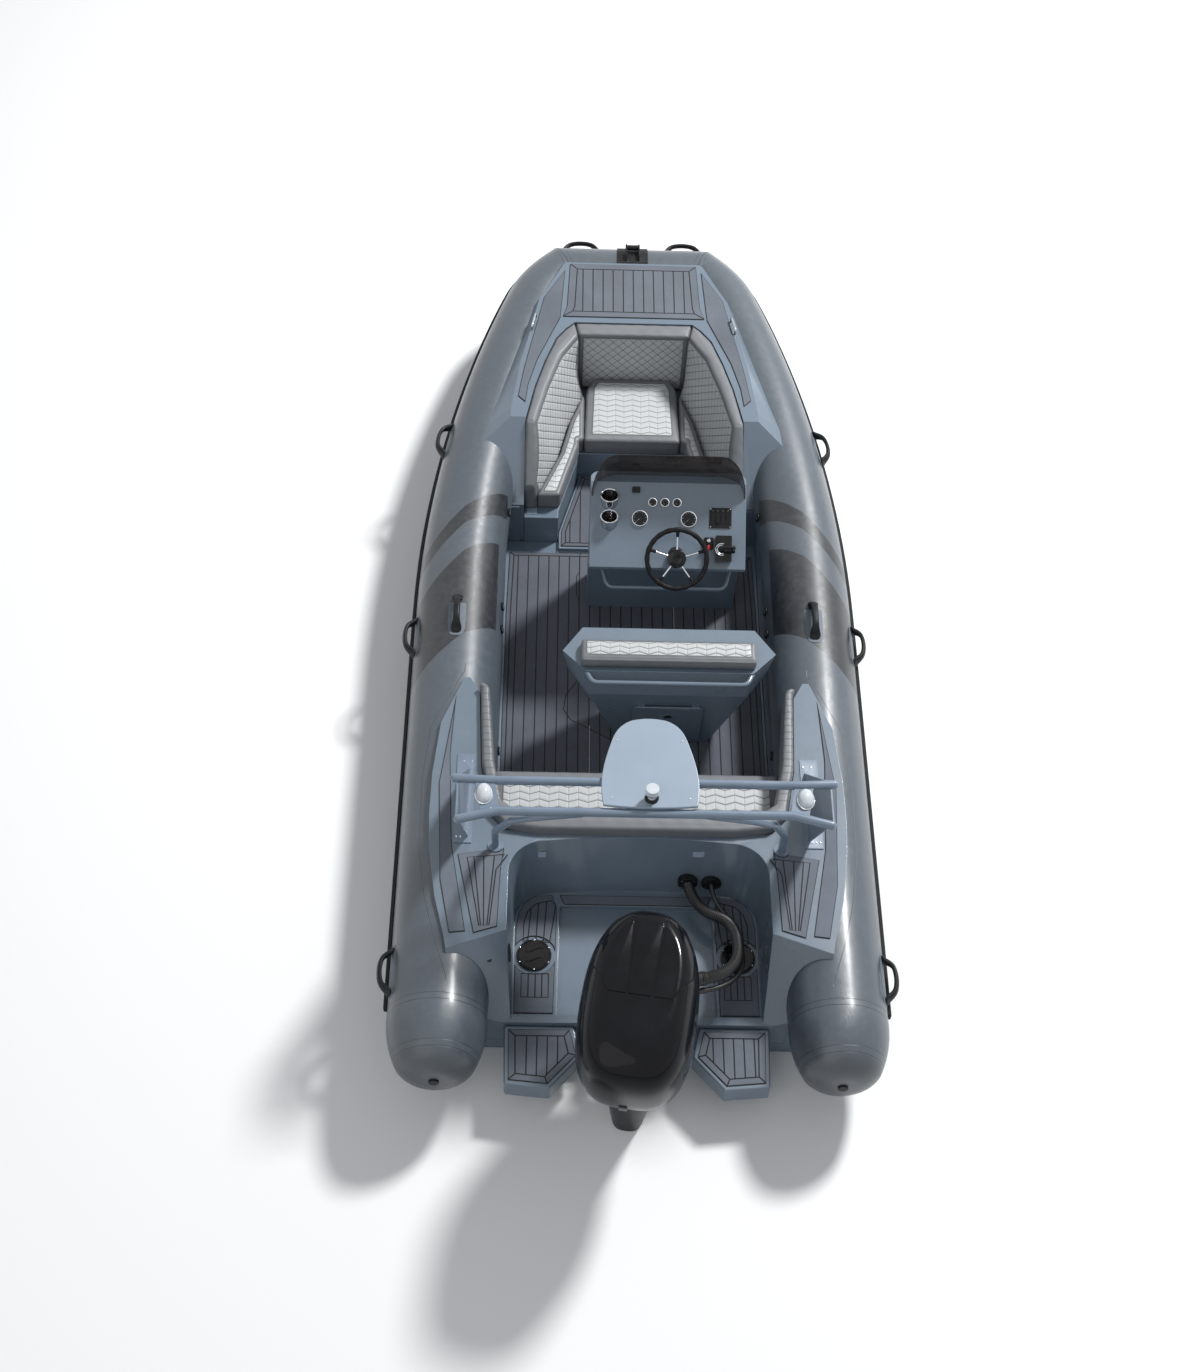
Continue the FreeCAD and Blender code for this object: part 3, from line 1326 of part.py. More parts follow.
os.makedirs("parts", exist_ok=True)
for name, make in NODES.items():
    shape = make()
    shape.exportStep("parts/" + name + ".step")
    volumes = [round(s.Volume / 1e6, 3) for s in shape.Solids]
    print(name, shape.isValid(), len(shape.Solids), volumes[:6])
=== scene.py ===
import math

import bmesh
import bpy
import numpy as np
from mathutils import Matrix, Vector
from mathutils.bvhtree import BVHTree
from mathutils.kdtree import KDTree


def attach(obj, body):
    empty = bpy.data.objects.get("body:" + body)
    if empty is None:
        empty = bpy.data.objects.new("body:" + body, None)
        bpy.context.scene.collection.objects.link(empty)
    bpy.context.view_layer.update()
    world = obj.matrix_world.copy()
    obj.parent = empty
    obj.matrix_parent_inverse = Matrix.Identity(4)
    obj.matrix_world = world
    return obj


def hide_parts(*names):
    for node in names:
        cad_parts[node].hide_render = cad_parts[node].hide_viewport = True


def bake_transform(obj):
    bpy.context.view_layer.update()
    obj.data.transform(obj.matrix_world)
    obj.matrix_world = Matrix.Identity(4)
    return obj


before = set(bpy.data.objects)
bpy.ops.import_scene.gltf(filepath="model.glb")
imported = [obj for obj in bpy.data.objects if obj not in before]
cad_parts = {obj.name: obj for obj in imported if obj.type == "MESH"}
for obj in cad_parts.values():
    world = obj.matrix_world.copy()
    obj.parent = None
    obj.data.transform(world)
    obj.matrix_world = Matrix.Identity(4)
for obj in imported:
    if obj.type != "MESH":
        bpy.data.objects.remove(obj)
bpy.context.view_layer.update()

# Camera, floor and light
# Seen from high astern, as from a drone. The floor is the water's level, plain and pale. A strong lamp
# stands forward and to starboard, and a broad weak one astern lights the shaded sides.

CAMERA_AT, LENS = (-0.45522, -4.71028, 9.36137), 52.56
YAW, DOWN, ROLL = 0.03882, 0.92502, 0.05049
SKY_COLOUR, SKY_STRENGTH = (0.92, 0.96, 1, 1), 0.36
FLOOR_REACH = 60


class Sock:
    """A shader value. Arithmetic on it, and node(), add nodes to its tree."""

    def __init__(self, tree, socket=None):
        self.tree, self.socket = tree, socket

    def node(self, kind, settings=(), links=(), out=0):
        made = self.tree.nodes.new("ShaderNode" + kind)
        for key, value in dict(settings).items():
            setattr(made, key, value)
        for key, value in dict(links).items():
            if isinstance(value, Sock):
                self.tree.links.new(value.socket, made.inputs[key])
            else:
                made.inputs[key].default_value = value
        return Sock(self.tree, made.outputs[out])

    def math(self, operation, *others):
        return self.node("Math", {"operation": operation}, enumerate((self, *others)))

    def second(self, operation, first):
        return self.node("Math", {"operation": operation}, enumerate((first, self)))

    def __add__(self, other):
        return self.math("ADD", other)

    def __radd__(self, other):
        return self.second("ADD", other)

    def __sub__(self, other):
        return self.math("SUBTRACT", other)

    def __rsub__(self, other):
        return self.second("SUBTRACT", other)

    def __mul__(self, other):
        return self.math("MULTIPLY", other)

    def __rmul__(self, other):
        return self.second("MULTIPLY", other)

    def __truediv__(self, other):
        return self.math("DIVIDE", other)

    def __rtruediv__(self, other):
        return self.second("DIVIDE", other)

    def __abs__(self):
        return self.math("ABSOLUTE")

    def ramp(self, low, high, to_low=0.0, to_high=1.0):
        """Straight climb between two values, level outside them."""
        return self.node("MapRange", (), {0: self, 1: low, 2: high, 3: to_low, 4: to_high})

    def mix(self, a, b):
        """Colour a where this value is 0 and b where it is 1."""
        return self.node("Mix", {"data_type": "RGBA"}, {0: self, 6: a, 7: b}, out=2)

    def noise(self, scale, detail=4.0, rough=0.55):
        """Cloudy value over this place."""
        return self.node("TexNoise", (), {"Vector": self, "Scale": scale, "Detail": detail, "Roughness": rough})


def material(name, colour, roughness, metallic=0.0, coat=0.0, coat_roughness=0.08, specular=0.5):
    """A material with its constant values set."""
    made = bpy.data.materials.new(name)
    made.use_nodes = True
    shader = made.node_tree.nodes["Principled BSDF"]
    for key, value in {"Base Color": colour, "Roughness": roughness, "Metallic": metallic, "Coat Weight": coat,
                       "Coat Roughness": coat_roughness, "Specular IOR Level": specular}.items():
        shader.inputs[key].default_value = value
    return made


def linked(name, data):
    """A new object in the scene."""
    made = bpy.data.objects.new(name, data)
    bpy.context.scene.collection.objects.link(made)
    return made


def standing(place, right, up, out):
    """Frame at a place, from its three directions."""
    return Matrix.Translation(place) @ Matrix((right, up, out)).transposed().to_4x4()


def lamp(name, place, target, size, power):
    made = linked(name, bpy.data.lights.new(name, "AREA"))
    made.data.shape, made.data.size, made.data.energy = "DISK", size, power
    made.location = place
    made.rotation_euler = (Vector(target) - Vector(place)).to_track_quat("-Z", "Y").to_euler()


def mesh_object(name, vertices, faces, smooth=True):
    mesh = bpy.data.meshes.new(name)
    mesh.from_pydata([tuple(v) for v in vertices], [], faces)
    mesh.validate()
    if smooth:
        mesh.shade_smooth()
    return linked(name, mesh)


camera = linked("camera", bpy.data.cameras.new("camera"))
bpy.context.scene.camera = camera
ahead = Vector((math.sin(YAW) * math.cos(DOWN), math.cos(YAW) * math.cos(DOWN), -math.sin(DOWN)))
level = Vector((math.cos(YAW), -math.sin(YAW), 0))
over = level.cross(ahead)
camera.matrix_world = standing(CAMERA_AT, level * math.cos(ROLL) + over * math.sin(ROLL),
                               over * math.cos(ROLL) - level * math.sin(ROLL), -ahead)
camera.data.sensor_fit, camera.data.sensor_height, camera.data.lens = "VERTICAL", 36, LENS
bpy.context.scene.view_settings.view_transform = "Standard"

world = bpy.data.worlds.new("studio")
bpy.context.scene.world = world
world.use_nodes = True
sky = world.node_tree.nodes["Background"]
seen, mirrored, through = [Sock(world.node_tree).node("LightPath", out=f"Is {kind} Ray")
                           for kind in ("Camera", "Glossy", "Transmission")]
white = seen.math("MAXIMUM", mirrored.math("MAXIMUM", through))
world.node_tree.links.new(white.mix(SKY_COLOUR, (1, 1, 1, 1)).socket, sky.inputs["Color"])
world.node_tree.links.new(white.ramp(0, 1, SKY_STRENGTH, 1.0).socket, sky.inputs["Strength"])
lamp("lamp_fore", (7, 9, 12), (0, 2.4, 0.5), 2.4, 2750)
lamp("lamp_astern", (-7, -8, 9), (0, 2, 0.5), 13, 330)

floor = mesh_object("floor", [(x * FLOOR_REACH, y * FLOOR_REACH, 0) for x, y in ((-1, -1), (1, -1), (1, 1), (-1, 1))],
                    [(0, 1, 2, 3)])
floor.data.materials.append(material("floor", (0.93, 0.93, 0.93, 1), 0.9))

# Rigging hoses
# A ribbed black hose carries cables and the fuel line from the well's wall into the cowl, and a thin
# smooth one the battery leads. Each ends in a rubber boot.

HOSES = {
    "main": (0.030, 0.0016, [(0.27, 0.788, 0.355), (0.30, 0.64, 0.34), (0.52, 0.54, 0.38), (0.50, 0.15, 0.545),
                             (0.18, 0.045, 0.64)]),
    "thin": (0.013, 0.0, [(0.394, 0.788, 0.355), (0.40, 0.69, 0.335), (0.54, 0.52, 0.325), (0.53, 0.11, 0.51),
                          (0.17, 0.0, 0.59)]),
}
RIB_PITCH, SMOOTH_STEP, BOOT_RINGS, BOOT_RIPPLES = 0.0112, 0.008, 40, 14


def rgb(r, g, b):
    """A colour written 0 to 255, as a linear one."""
    return tuple(((c / 255 + 0.055) / 1.055) ** 2.4 for c in (r, g, b)) + (1.0,)


def shade(colour, factor, lift=0.0):
    """The colour made darker or lighter."""
    return tuple(min(1, c * factor + lift) for c in colour[:3]) + (1,)


def drive(made, **values):
    """Joins values to the shader's sockets, underscores for spaces."""
    shader = made.node_tree.nodes["Principled BSDF"]
    for key, value in values.items():
        made.node_tree.links.new(value.socket, shader.inputs[key.replace("_", " ")])


def object_place(made):
    """Place on the object, as it stands at rest."""
    return Sock(made.node_tree).node("TexCoord", out="Object")


def bump(made, height, distance, strength):
    links = {"Height": height, "Distance": distance, "Strength": strength}
    drive(made, Normal=height.node("Bump", (), links))


def route_line(name, points):
    """The smooth line that a hose takes between its route's points."""
    curve = bpy.data.curves.new(name, "CURVE")
    curve.dimensions = "3D"
    curve.resolution_u = 24
    spline = curve.splines.new("NURBS")
    spline.points.add(len(points) - 1)
    for point, place in zip(spline.points, points):
        point.co = (*place, 1)
    spline.order_u = 3
    spline.use_endpoint_u = True
    holder = bpy.data.objects.new(name, curve)
    line = bpy.data.meshes.new_from_object(holder)
    bpy.data.objects.remove(holder)
    return np.array([v.co[:] for v in line.vertices])


def spaced(path, step):
    """Points at even distances along a line."""
    far = np.concatenate(([0], np.cumsum(np.linalg.norm(np.diff(path, axis=0), axis=1))))
    at = np.linspace(0, far[-1], max(2, int(far[-1] / step) + 1))
    return np.stack([np.interp(at, far, path[:, i]) for i in range(3)], axis=1)


def skinned(name, rings, caps=(True, True), closed=False):
    """Skin over rings of points, capped at its ends or closed into a loop."""
    rings = np.asarray(rings, float)
    rows, sides = rings.shape[:2]
    faces = []
    for row in range(rows if closed else rows - 1):
        a, b = row * sides, (row + 1) % rows * sides
        for i in range(sides):
            j = (i + 1) % sides
            faces.append((a + i, a + j, b + j, b + i))
    if caps[0] and not closed:
        faces.append(tuple(range(sides))[::-1])
    if caps[1] and not closed:
        faces.append(tuple(range((rows - 1) * sides, rows * sides)))
    return mesh_object(name, rings.reshape(-1, 3), faces)


def tidy_normals(made, sharp=35):
    """Faces outward, rounded shading with edges past the angle left crisp."""
    work = bmesh.new()
    work.from_mesh(made.data)
    bmesh.ops.recalc_face_normals(work, faces=work.faces)
    work.to_mesh(made.data)
    work.free()
    made.data.shade_smooth()
    made.data.set_sharp_from_angle(angle=math.radians(sharp))


def tube_along(name, path, radii, paint, sides=20):
    """A round bar or hose along a line."""
    path = np.asarray(path, float)
    along = np.gradient(path, axis=0)
    along /= np.linalg.norm(along, axis=1)[:, None]
    up = np.array([0, 0, 1.0]) if abs(along[0][2]) < 0.9 else np.array([0, 1.0, 0])
    turn = np.linspace(0, 2 * math.pi, sides, endpoint=False)
    rings = []
    for place, way, radius in zip(path, along, np.broadcast_to(radii, len(path))):
        up = up - way * up.dot(way)
        up /= np.linalg.norm(up)
        side = np.cross(way, up)
        rings.append(place + radius * (np.cos(turn)[:, None] * up + np.sin(turn)[:, None] * side))
    made = skinned(name, rings)
    tidy_normals(made)
    made.data.materials.append(paint)
    return made


hose_black = material("hose_black", rgb(22, 22, 24), 0.42, coat=0.15, coat_roughness=0.3)
place = object_place(hose_black)
faded = place.noise(6.0, 5, 0.6).ramp(0.3, 0.7).mix(shade(rgb(24, 24, 26), 0.86), shade(rgb(24, 24, 26), 1.12))
drive(hose_black, Base_Color=faded, Roughness=place.noise(40, 4).ramp(0.3, 0.7, 0.34, 0.52))
bump(hose_black, place.noise(160, 3), 0.0006, 0.5)

for name, (radius, rib, points) in HOSES.items():
    route = [Vector(p) for p in points]
    joint = route[3].lerp(route[4], 0.6)
    path = route_line("hose_route_" + name, route[:4] + [joint])
    even = spaced(path, RIB_PITCH / 4 if rib else SMOOTH_STEP)
    far = np.arange(len(even)) * np.linalg.norm(even[1] - even[0])
    ribbed = radius - rib + rib * np.cos(far * 2 * math.pi / RIB_PITCH)
    hose = tube_along("hose_" + name, even, ribbed, hose_black)
    boot_path = [joint.lerp(route[4], t)[:] for t in np.linspace(-0.12, 0.94, BOOT_RINGS)]
    swell = np.interp(np.linspace(0, 1, BOOT_RINGS), [0, 0.03, 0.14, 0.17, 0.85, 1],
                      [1.12, 1.2, 1.2, 1.1, 1.16, 1.45])
    ripple = 1 + 0.035 * np.cos(np.linspace(0, BOOT_RIPPLES, BOOT_RINGS) * 2 * math.pi)
    boot = tube_along("hose_boot_" + name, boot_path, radius * swell * ripple, hose_black)
    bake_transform(hose)
    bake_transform(boot)
    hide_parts("rigging_hoses")

# Buoyancy tubes
# Welded fabric tubes, blown hard: two sides with rounded stern cones and a straight bow tube between
# mitres. Dark panels cross the sides aslant, taped seams ring the cones, and a tape follows the decks.

TUBE_X, TUBE_Z, TUBE_R = 1.0, 0.39, 0.25
BEND_FROM, TUBE_BEND, CORNER_FROM, TUBE_CORNER, BOW_Y = 2.55, 7.438, 4.96, 0.42, 5.21
RISE_FROM, RISE_LONG, BOW_RISE, BOW_TAPER = 2.2, 2.8, 0.165, 0.045
CONE_TIP, MITRE_GAP = -0.385, 0.0002
# Panel edges in plan: distance off the centreline, then along the boat.
PANELS = [
    (0.745, [(0.741, 3.324), (0.985, 3.128), (1.234, 2.828)], [(0.751, 3.158), (0.98, 3.003), (1.244, 2.699)]),
    (0.785, [(0.782, 2.94), (0.971, 2.81), (1.238, 2.499)], [(0.79, 2.323), (0.947, 2.218), (1.243, 1.925)]),
]
DECK_TAPE = [(0.06, 0.955), (0.271, 1.026), (0.506, 1.084), (0.808, 1.128), (1.248, 1.138), (1.58, 1.108),
             (1.95, 0.94)]
CONE_SEAMS = (-0.028, -0.062, -0.262, -0.292)
SIDES = {"starboard": Matrix.Identity(4), "port": Matrix.Scale(-1, 4, (1, 0, 0))}
grey_fabric, dark_fabric = rgb(75, 83, 91), rgb(25, 28, 33)


def tube_at(y):
    """Centre's x and z, radius and heading of the starboard tube."""
    heading = math.asin(max(0.0, y - BEND_FROM) / TUBE_BEND)
    corner = max(0.0, y - CORNER_FROM)
    x = TUBE_X - TUBE_BEND * (1 - math.cos(heading)) - corner ** 2 / (2 * TUBE_CORNER)
    heading = math.atan(math.tan(heading) + corner / TUBE_CORNER)
    t = min(max((y - RISE_FROM) / RISE_LONG, 0.0), 1.0)
    rise = t * t * (3 - 2 * t)
    return x, TUBE_Z + BOW_RISE * rise, TUBE_R - BOW_TAPER * rise, heading


def arc_through(a, b, c, count=14):
    """Points of the arc through three, the first left out."""
    a, b, c = (np.array(p, float) for p in (a, b, c))
    sums = np.array([(b @ b - a @ a) / 2, (c @ c - a @ a) / 2])
    middle = np.linalg.solve(np.array([b - a, c - a]), sums)
    angles = np.unwrap([math.atan2(*(p - middle)[::-1]) for p in (a, b, c)])
    reach = np.linalg.norm(a - middle)
    turns = np.linspace(angles[0], angles[2], count + 1)[1:]
    return [middle + reach * np.array((math.cos(t), math.sin(t))) for t in turns]


def circle(centre, radius, heading, sides=96):
    turn = np.linspace(0, 2 * math.pi, sides, endpoint=False)
    out = np.array([math.cos(heading), math.sin(heading), 0])
    return np.array(centre) + radius * (np.cos(turn)[:, None] * out + np.sin(turn)[:, None] * [0, 0, 1])


def cut_by(made, place, normal):
    """Takes off what lies past a plane and closes the cut."""
    work = bmesh.new()
    work.from_mesh(made.data)
    geometry = work.verts[:] + work.edges[:] + work.faces[:]
    cut = bmesh.ops.bisect_plane(work, geom=geometry, plane_co=place, plane_no=normal, clear_outer=True)
    bmesh.ops.holes_fill(work, edges=[e for e in cut["geom_cut"] if isinstance(e, bmesh.types.BMEdge)])
    work.to_mesh(made.data)
    work.free()


def split(place):
    return [place.node("SeparateXYZ", (), {0: place}, out=i) for i in range(3)]


def piecewise(value, points):
    """Level, sloped and level value through points, for a shader."""
    total = points[0][1]
    for (a, low), (b, high) in zip(points, points[1:]):
        total = value.ramp(a, b, 0, high - low) + total
    return total


def line_mask(distance, half, soft=0.0012):
    return abs(distance).ramp(half, half + soft, 1, 0)


def fitted(made, paint, body="boat"):
    """Paints a piece and fastens it to its body."""
    made.data.materials.append(paint)
    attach(made, body)
    return made


bow_x, bow_z, bow_r, bow_heading = tube_at(BOW_Y)
bow_corner = Vector((bow_x, BOW_Y, bow_z))
mitre = Vector((-math.sin(bow_heading) - 1, math.cos(bow_heading), 0)).normalized()

tube_fabric = material("tube_fabric", grey_fabric, 0.36, coat=0.3, coat_roughness=0.2)
place = object_place(tube_fabric)
x, y, z = split(place)
off = abs(x)
dark = edge = 0.0
for inner, upper, lower in PANELS:
    below = (y - piecewise(off, lower)).math("MINIMUM", off - inner)
    least = (piecewise(off, upper) - y).math("MINIMUM", below)
    dark = least.ramp(-0.0008, 0.0008) + dark
    edge = line_mask(least, 0.0012) + edge
tape = off - piecewise(y, DECK_TAPE)
decked = y.ramp(0.03, 0.05) * y.ramp(1.99, 2.01, 1, 0) * z.ramp(0.40, 0.42)
seam = line_mask(tape, 0.0012) * decked
for at in CONE_SEAMS:
    seam = line_mask(y - at, 0.0013) + seam
taped = line_mask(y + 0.045, 0.017, 0.001) + line_mask(y + 0.277, 0.015, 0.001)
taped = taped + tape.ramp(-0.0006, 0.0006, 1, 0) * decked
joint_gap = (off - bow_x) * mitre.x + (y - BOW_Y) * mitre.y
at_bow = y.ramp(4.7, 4.75)
seam = (line_mask(joint_gap, 0.002) + line_mask(abs(joint_gap) - 0.026, 0.0012)) * at_bow + seam
taped = abs(joint_gap).ramp(0.025, 0.0258, 1, 0) * at_bow + taped
dark, edge, seam, taped = [value.math("MINIMUM", 1.0) for value in (dark, edge, seam, taped)]
belly, cone_end = z.ramp(0.16, 0.20, 1, 0), y.ramp(-0.30, -0.292, 1, 0)
grime, fine = place.noise(2.2, 6, 0.62), place.noise(26, 5, 0.6)
base = grey_fabric
for mask, tint in ((dark, dark_fabric), (grime.ramp(0.4, 0.75, 0.0, 0.2), rgb(76, 82, 87)),
                   (fine.ramp(0.45, 0.75, 0.0, 0.08), rgb(128, 136, 143)), (edge * 0.35, rgb(70, 76, 82)),
                   (seam * 0.72, rgb(34, 38, 42)), (belly * 0.22, rgb(64, 66, 62)),
                   (cone_end * 0.4, rgb(52, 58, 64))):
    base = mask.mix(base, tint)
drive(tube_fabric, Base_Color=base, Roughness=fine.ramp(0.3, 0.75, 0.33, 0.46) + grime.ramp(0.4, 0.7, 0, 0.06))
weave = place.node("TexWave", {"bands_direction": "DIAGONAL"}, {"Vector": place, "Scale": 260.0}, out=1)
height = weave * 0.00012 + place.noise(5.5, 3, 0.5) * 0.004 + fine * 0.0003
bump(tube_fabric, height + taped * 0.0009 + dark * 0.0006 - seam * 0.0008, 1.0, 0.8)

cone = [(0.0005, CONE_TIP), (0.03, CONE_TIP)]
cone += arc_through((0.06, CONE_TIP), (0.138, CONE_TIP + 0.02), (0.192, -0.318))
cone += arc_through((0.192, -0.318), (0.232, -0.215), (TUBE_R, -0.04))
for name, flip in SIDES.items():
    rings = [circle((TUBE_X, y, TUBE_Z), r, 0) for r, y in cone]
    for y in np.concatenate((np.arange(0, 4.94, 0.06), np.linspace(CORNER_FROM, BOW_Y, 14))):
        x, z, r, heading = tube_at(y)
        rings.append(circle((x, y, z), r, heading))
    past = 1.3 * bow_r * Vector((-math.sin(bow_heading), math.cos(bow_heading), 0))
    rings.append(circle(bow_corner + past, bow_r, bow_heading))
    tube = skinned("tube_skin_" + name, rings)
    cut_by(tube, bow_corner - mitre * MITRE_GAP, mitre)
    tube.data.transform(flip)
    tidy_normals(tube, 50)
    fitted(tube, tube_fabric)
    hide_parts("tube_" + name)
reach = bow_x + 1.3 * bow_r
bow_rings = [circle((x, BOW_Y, bow_z), bow_r, math.pi / 2) for x in np.linspace(-reach, reach, 40)]
bow_tube = skinned("tube_skin_bow", bow_rings)
for flip in SIDES.values():
    cut_by(bow_tube, flip @ (bow_corner + mitre * MITRE_GAP), flip @ -mitre)
tidy_normals(bow_tube, 50)
fitted(bow_tube, tube_fabric)
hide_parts("tube_bow")

# Moulded hull and decks
# Glass-fibre mouldings in pale blue-grey gelcoat: hull, sole, bow and stern decks, seat boxes. Their edges
# are rounded as they leave a mould, and the finish is glossy with faint waves, dust and hairlines.

gel_colour, gel_hull_colour = rgb(103, 117, 131), rgb(102, 115, 129)
EDGES = {"hull": 0.006, "bow_deck": 0.008, "stern_deck": 0.010, "bow_seat_base": 0.008, "aft_seat_base": 0.008,
         "cockpit_sole": 0.005, "platforms": 0.010}


def mesh_of(node):
    """The node's mesh for working on, its split corners joined again."""
    work = bmesh.new()
    work.from_mesh(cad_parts[node].data)
    bmesh.ops.remove_doubles(work, verts=work.verts, dist=2e-5)
    return work


def built(name, work):
    """A new object in the scene from a mesh that was worked on."""
    mesh = bpy.data.meshes.new(name)
    work.to_mesh(mesh)
    work.free()
    return linked(name, mesh)


def rounded(made, width, segments, angle, harden=True):
    """Rounds the edges that are sharper than the angle."""
    bevel = made.modifiers.new("edges", "BEVEL")
    bevel.width, bevel.segments, bevel.harden_normals = width, segments, harden
    bevel.limit_method, bevel.angle_limit = "ANGLE", math.radians(angle)
    return bevel


def moulded(name, node, edge, paint, body="boat", crease=26, segments=2):
    """A CAD piece with its edges rounded."""
    work = mesh_of(node)
    bmesh.ops.dissolve_limit(work, angle_limit=math.radians(0.8), verts=work.verts, edges=work.edges)
    made = built(name, work)
    made.data.shade_smooth()
    made.data.set_sharp_from_angle(angle=math.radians(crease))
    rounded(made, edge, segments, crease).miter_outer = "MITER_ARC"
    fitted(made, paint, body)
    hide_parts(node)


def gelcoat(name, colour):
    made = material(name, colour, 0.3, coat=0.3, coat_roughness=0.1)
    place = object_place(made)
    haze, dust, speck = place.noise(1.7, 4, 0.6), place.noise(30, 6, 0.7), place.noise(210, 2, 0.5)
    stretch = {"Vector": place, "Rotation": (0.3, 0.2, 0.7), "Scale": (190, 9, 40)}
    hair = place.node("Mapping", (), stretch).noise(1.0, 3, 0.6)
    base = haze.ramp(0.3, 0.7).mix(shade(colour, 0.94), shade(colour, 1.05))
    base = dust.ramp(0.5, 0.8, 0, 0.07).mix(base, rgb(168, 172, 174))
    base = speck.ramp(0.68, 0.76, 0, 0.3).mix(base, shade(colour, 0.94))
    drive(made, Base_Color=base, Roughness=haze.ramp(0.3, 0.7, 0.26, 0.34) + hair.ramp(0.62, 0.72, 0, 0.05))
    bump(made, haze * 0.003 + speck * 0.00008 + hair.ramp(0.6, 0.75) * 0.00006, 1.0, 0.5)
    return made


deck_paint, hull_paint = gelcoat("gelcoat_pale", gel_colour), gelcoat("gelcoat_hull", gel_hull_colour)
for node, edge in EDGES.items():
    moulded(node + "_moulding", node, edge, hull_paint if node == "hull" else deck_paint)

# Foam deck pads
# Closed-cell foam sheets stuck to the decks, routed to look like planking: a mitred border and planks
# between dark grooves that go through the top layer. On curved pads the grooves are drawn as lines.

pad_side_grey, pad_bow_grey, pad_sole_grey = rgb(102, 108, 118), rgb(96, 101, 110), rgb(84, 88, 97)
PAD_THICK, GROOVE, GROOVE_DEEP, PLANK_THICK, NARROWEST = 0.006, 0.0065, 0.0026, 0.003, 0.012
LINE_HALF, LINE_LIFT = 0.0032, 0.0004
CUTS = {
    "stern_short": [[(0.686, 0.749), (0.876, 0.729), (0.802, 0.329), (0.752, 0.335), (0.727, 0.659), (0.671, 0.749)],
                    [(0.842, 0.732), (0.794, 0.333)], [(0.792, 0.735), (0.779, 0.333)],
                    [(0.738, 0.738), (0.762, 0.335)]],
    "well": [[(0.447, 0.482), (0.585, 0.486), (0.584, 0.594), (0.565, 0.659), (0.524, 0.704), (0.446, 0.726),
              (0.419, 0.698), (0.447, 0.482)], [(0.549, 0.671), (0.561, 0.490)], [(0.510, 0.708), (0.519, 0.487)],
             [(0.467, 0.719), (0.480, 0.484)], [(0.451, 0.291), (0.590, 0.291), (0.590, 0.155), (0.451, 0.155),
                                                (0.451, 0.291)],
             [(0.554, 0.291), (0.554, 0.155)], [(0.518, 0.291), (0.518, 0.155)], [(0.484, 0.291), (0.484, 0.155)]],
}


def foam(name, colour):
    made = material(name, colour, 0.82)
    place = object_place(made)
    grain = place.noise(420, 3, 0.7)
    brushed = place.node("Mapping", (), {"Vector": place, "Scale": (330, 14, 60)}).noise(1.0, 3, 0.6)
    base = place.noise(3.0, 5, 0.6).ramp(0.3, 0.7).mix(shade(colour, 0.84), shade(colour, 1.14))
    base = grain.ramp(0.5, 0.72, 0, 0.35).mix(base, shade(colour, 0.6))
    base = brushed.ramp(0.5, 0.7, 0, 0.22).mix(base, shade(colour, 1.35))
    drive(made, Base_Color=base, Roughness=grain.ramp(0.3, 0.7, 0.7, 0.92))
    bump(made, grain * 0.0006 + brushed * 0.0004, 1.0, 0.9)
    return made


def top_faces(node):
    """Upward outlines of a node's solids, each one flat face."""
    work = mesh_of(node)
    bmesh.ops.delete(work, geom=[f for f in work.faces if f.normal.z < 0.6], context="FACES")
    bmesh.ops.dissolve_limit(work, angle_limit=math.radians(2.5), verts=work.verts, edges=work.edges)
    loops = [[v.co.copy() for v in f.verts] for f in work.faces if f.calc_area() > 0.002]
    work.free()
    return loops


def thicken(work, faces, move, keep=False):
    """Draws faces up or down into blocks."""
    for part in bmesh.ops.extrude_face_region(work, geom=faces, use_keep_orig=keep)["geom"]:
        if isinstance(part, bmesh.types.BMVert):
            part.co.z += move


def mitre_border(work, face, border):
    """Insets a border, and joins its pieces again where the outline runs straight on."""
    ring = set(bmesh.ops.inset_region(work, faces=[face], thickness=border, use_even_offset=True,
                                      use_boundary=True)["faces"])
    straight = []
    for edge in work.edges:
        rim = [v for v in edge.verts if any(e.is_boundary for e in v.link_edges)]
        if len(rim) == 1 and len(edge.link_faces) == 2 and all(f in ring for f in edge.link_faces):
            a, b = [e.other_vert(rim[0]).co - rim[0].co for e in rim[0].link_edges if e.is_boundary][:2]
            if a.angle(b) > math.radians(160):
                straight.append(edge)
    bmesh.ops.dissolve_edges(work, edges=straight, use_verts=False)


def cut_planks(work, face, pitch, shift):
    """Cuts a face into planks that run fore and aft."""
    xs = [v.co.x for v in face.verts]
    pieces = [face]
    for k in range(math.floor((min(xs) - shift) / pitch) + 1, math.floor((max(xs) - shift) / pitch) + 1):
        x = shift + k * pitch
        if min(x - min(xs), max(xs) - x) < NARROWEST:
            continue
        geometry = dict.fromkeys([part for f in pieces for part in (*f.verts, *f.edges)] + pieces)
        cut = bmesh.ops.bisect_plane(work, geom=list(geometry), plane_co=(x, 0, 0), plane_no=(1, 0, 0))
        pieces = [part for part in cut["geom"] if isinstance(part, bmesh.types.BMFace)]


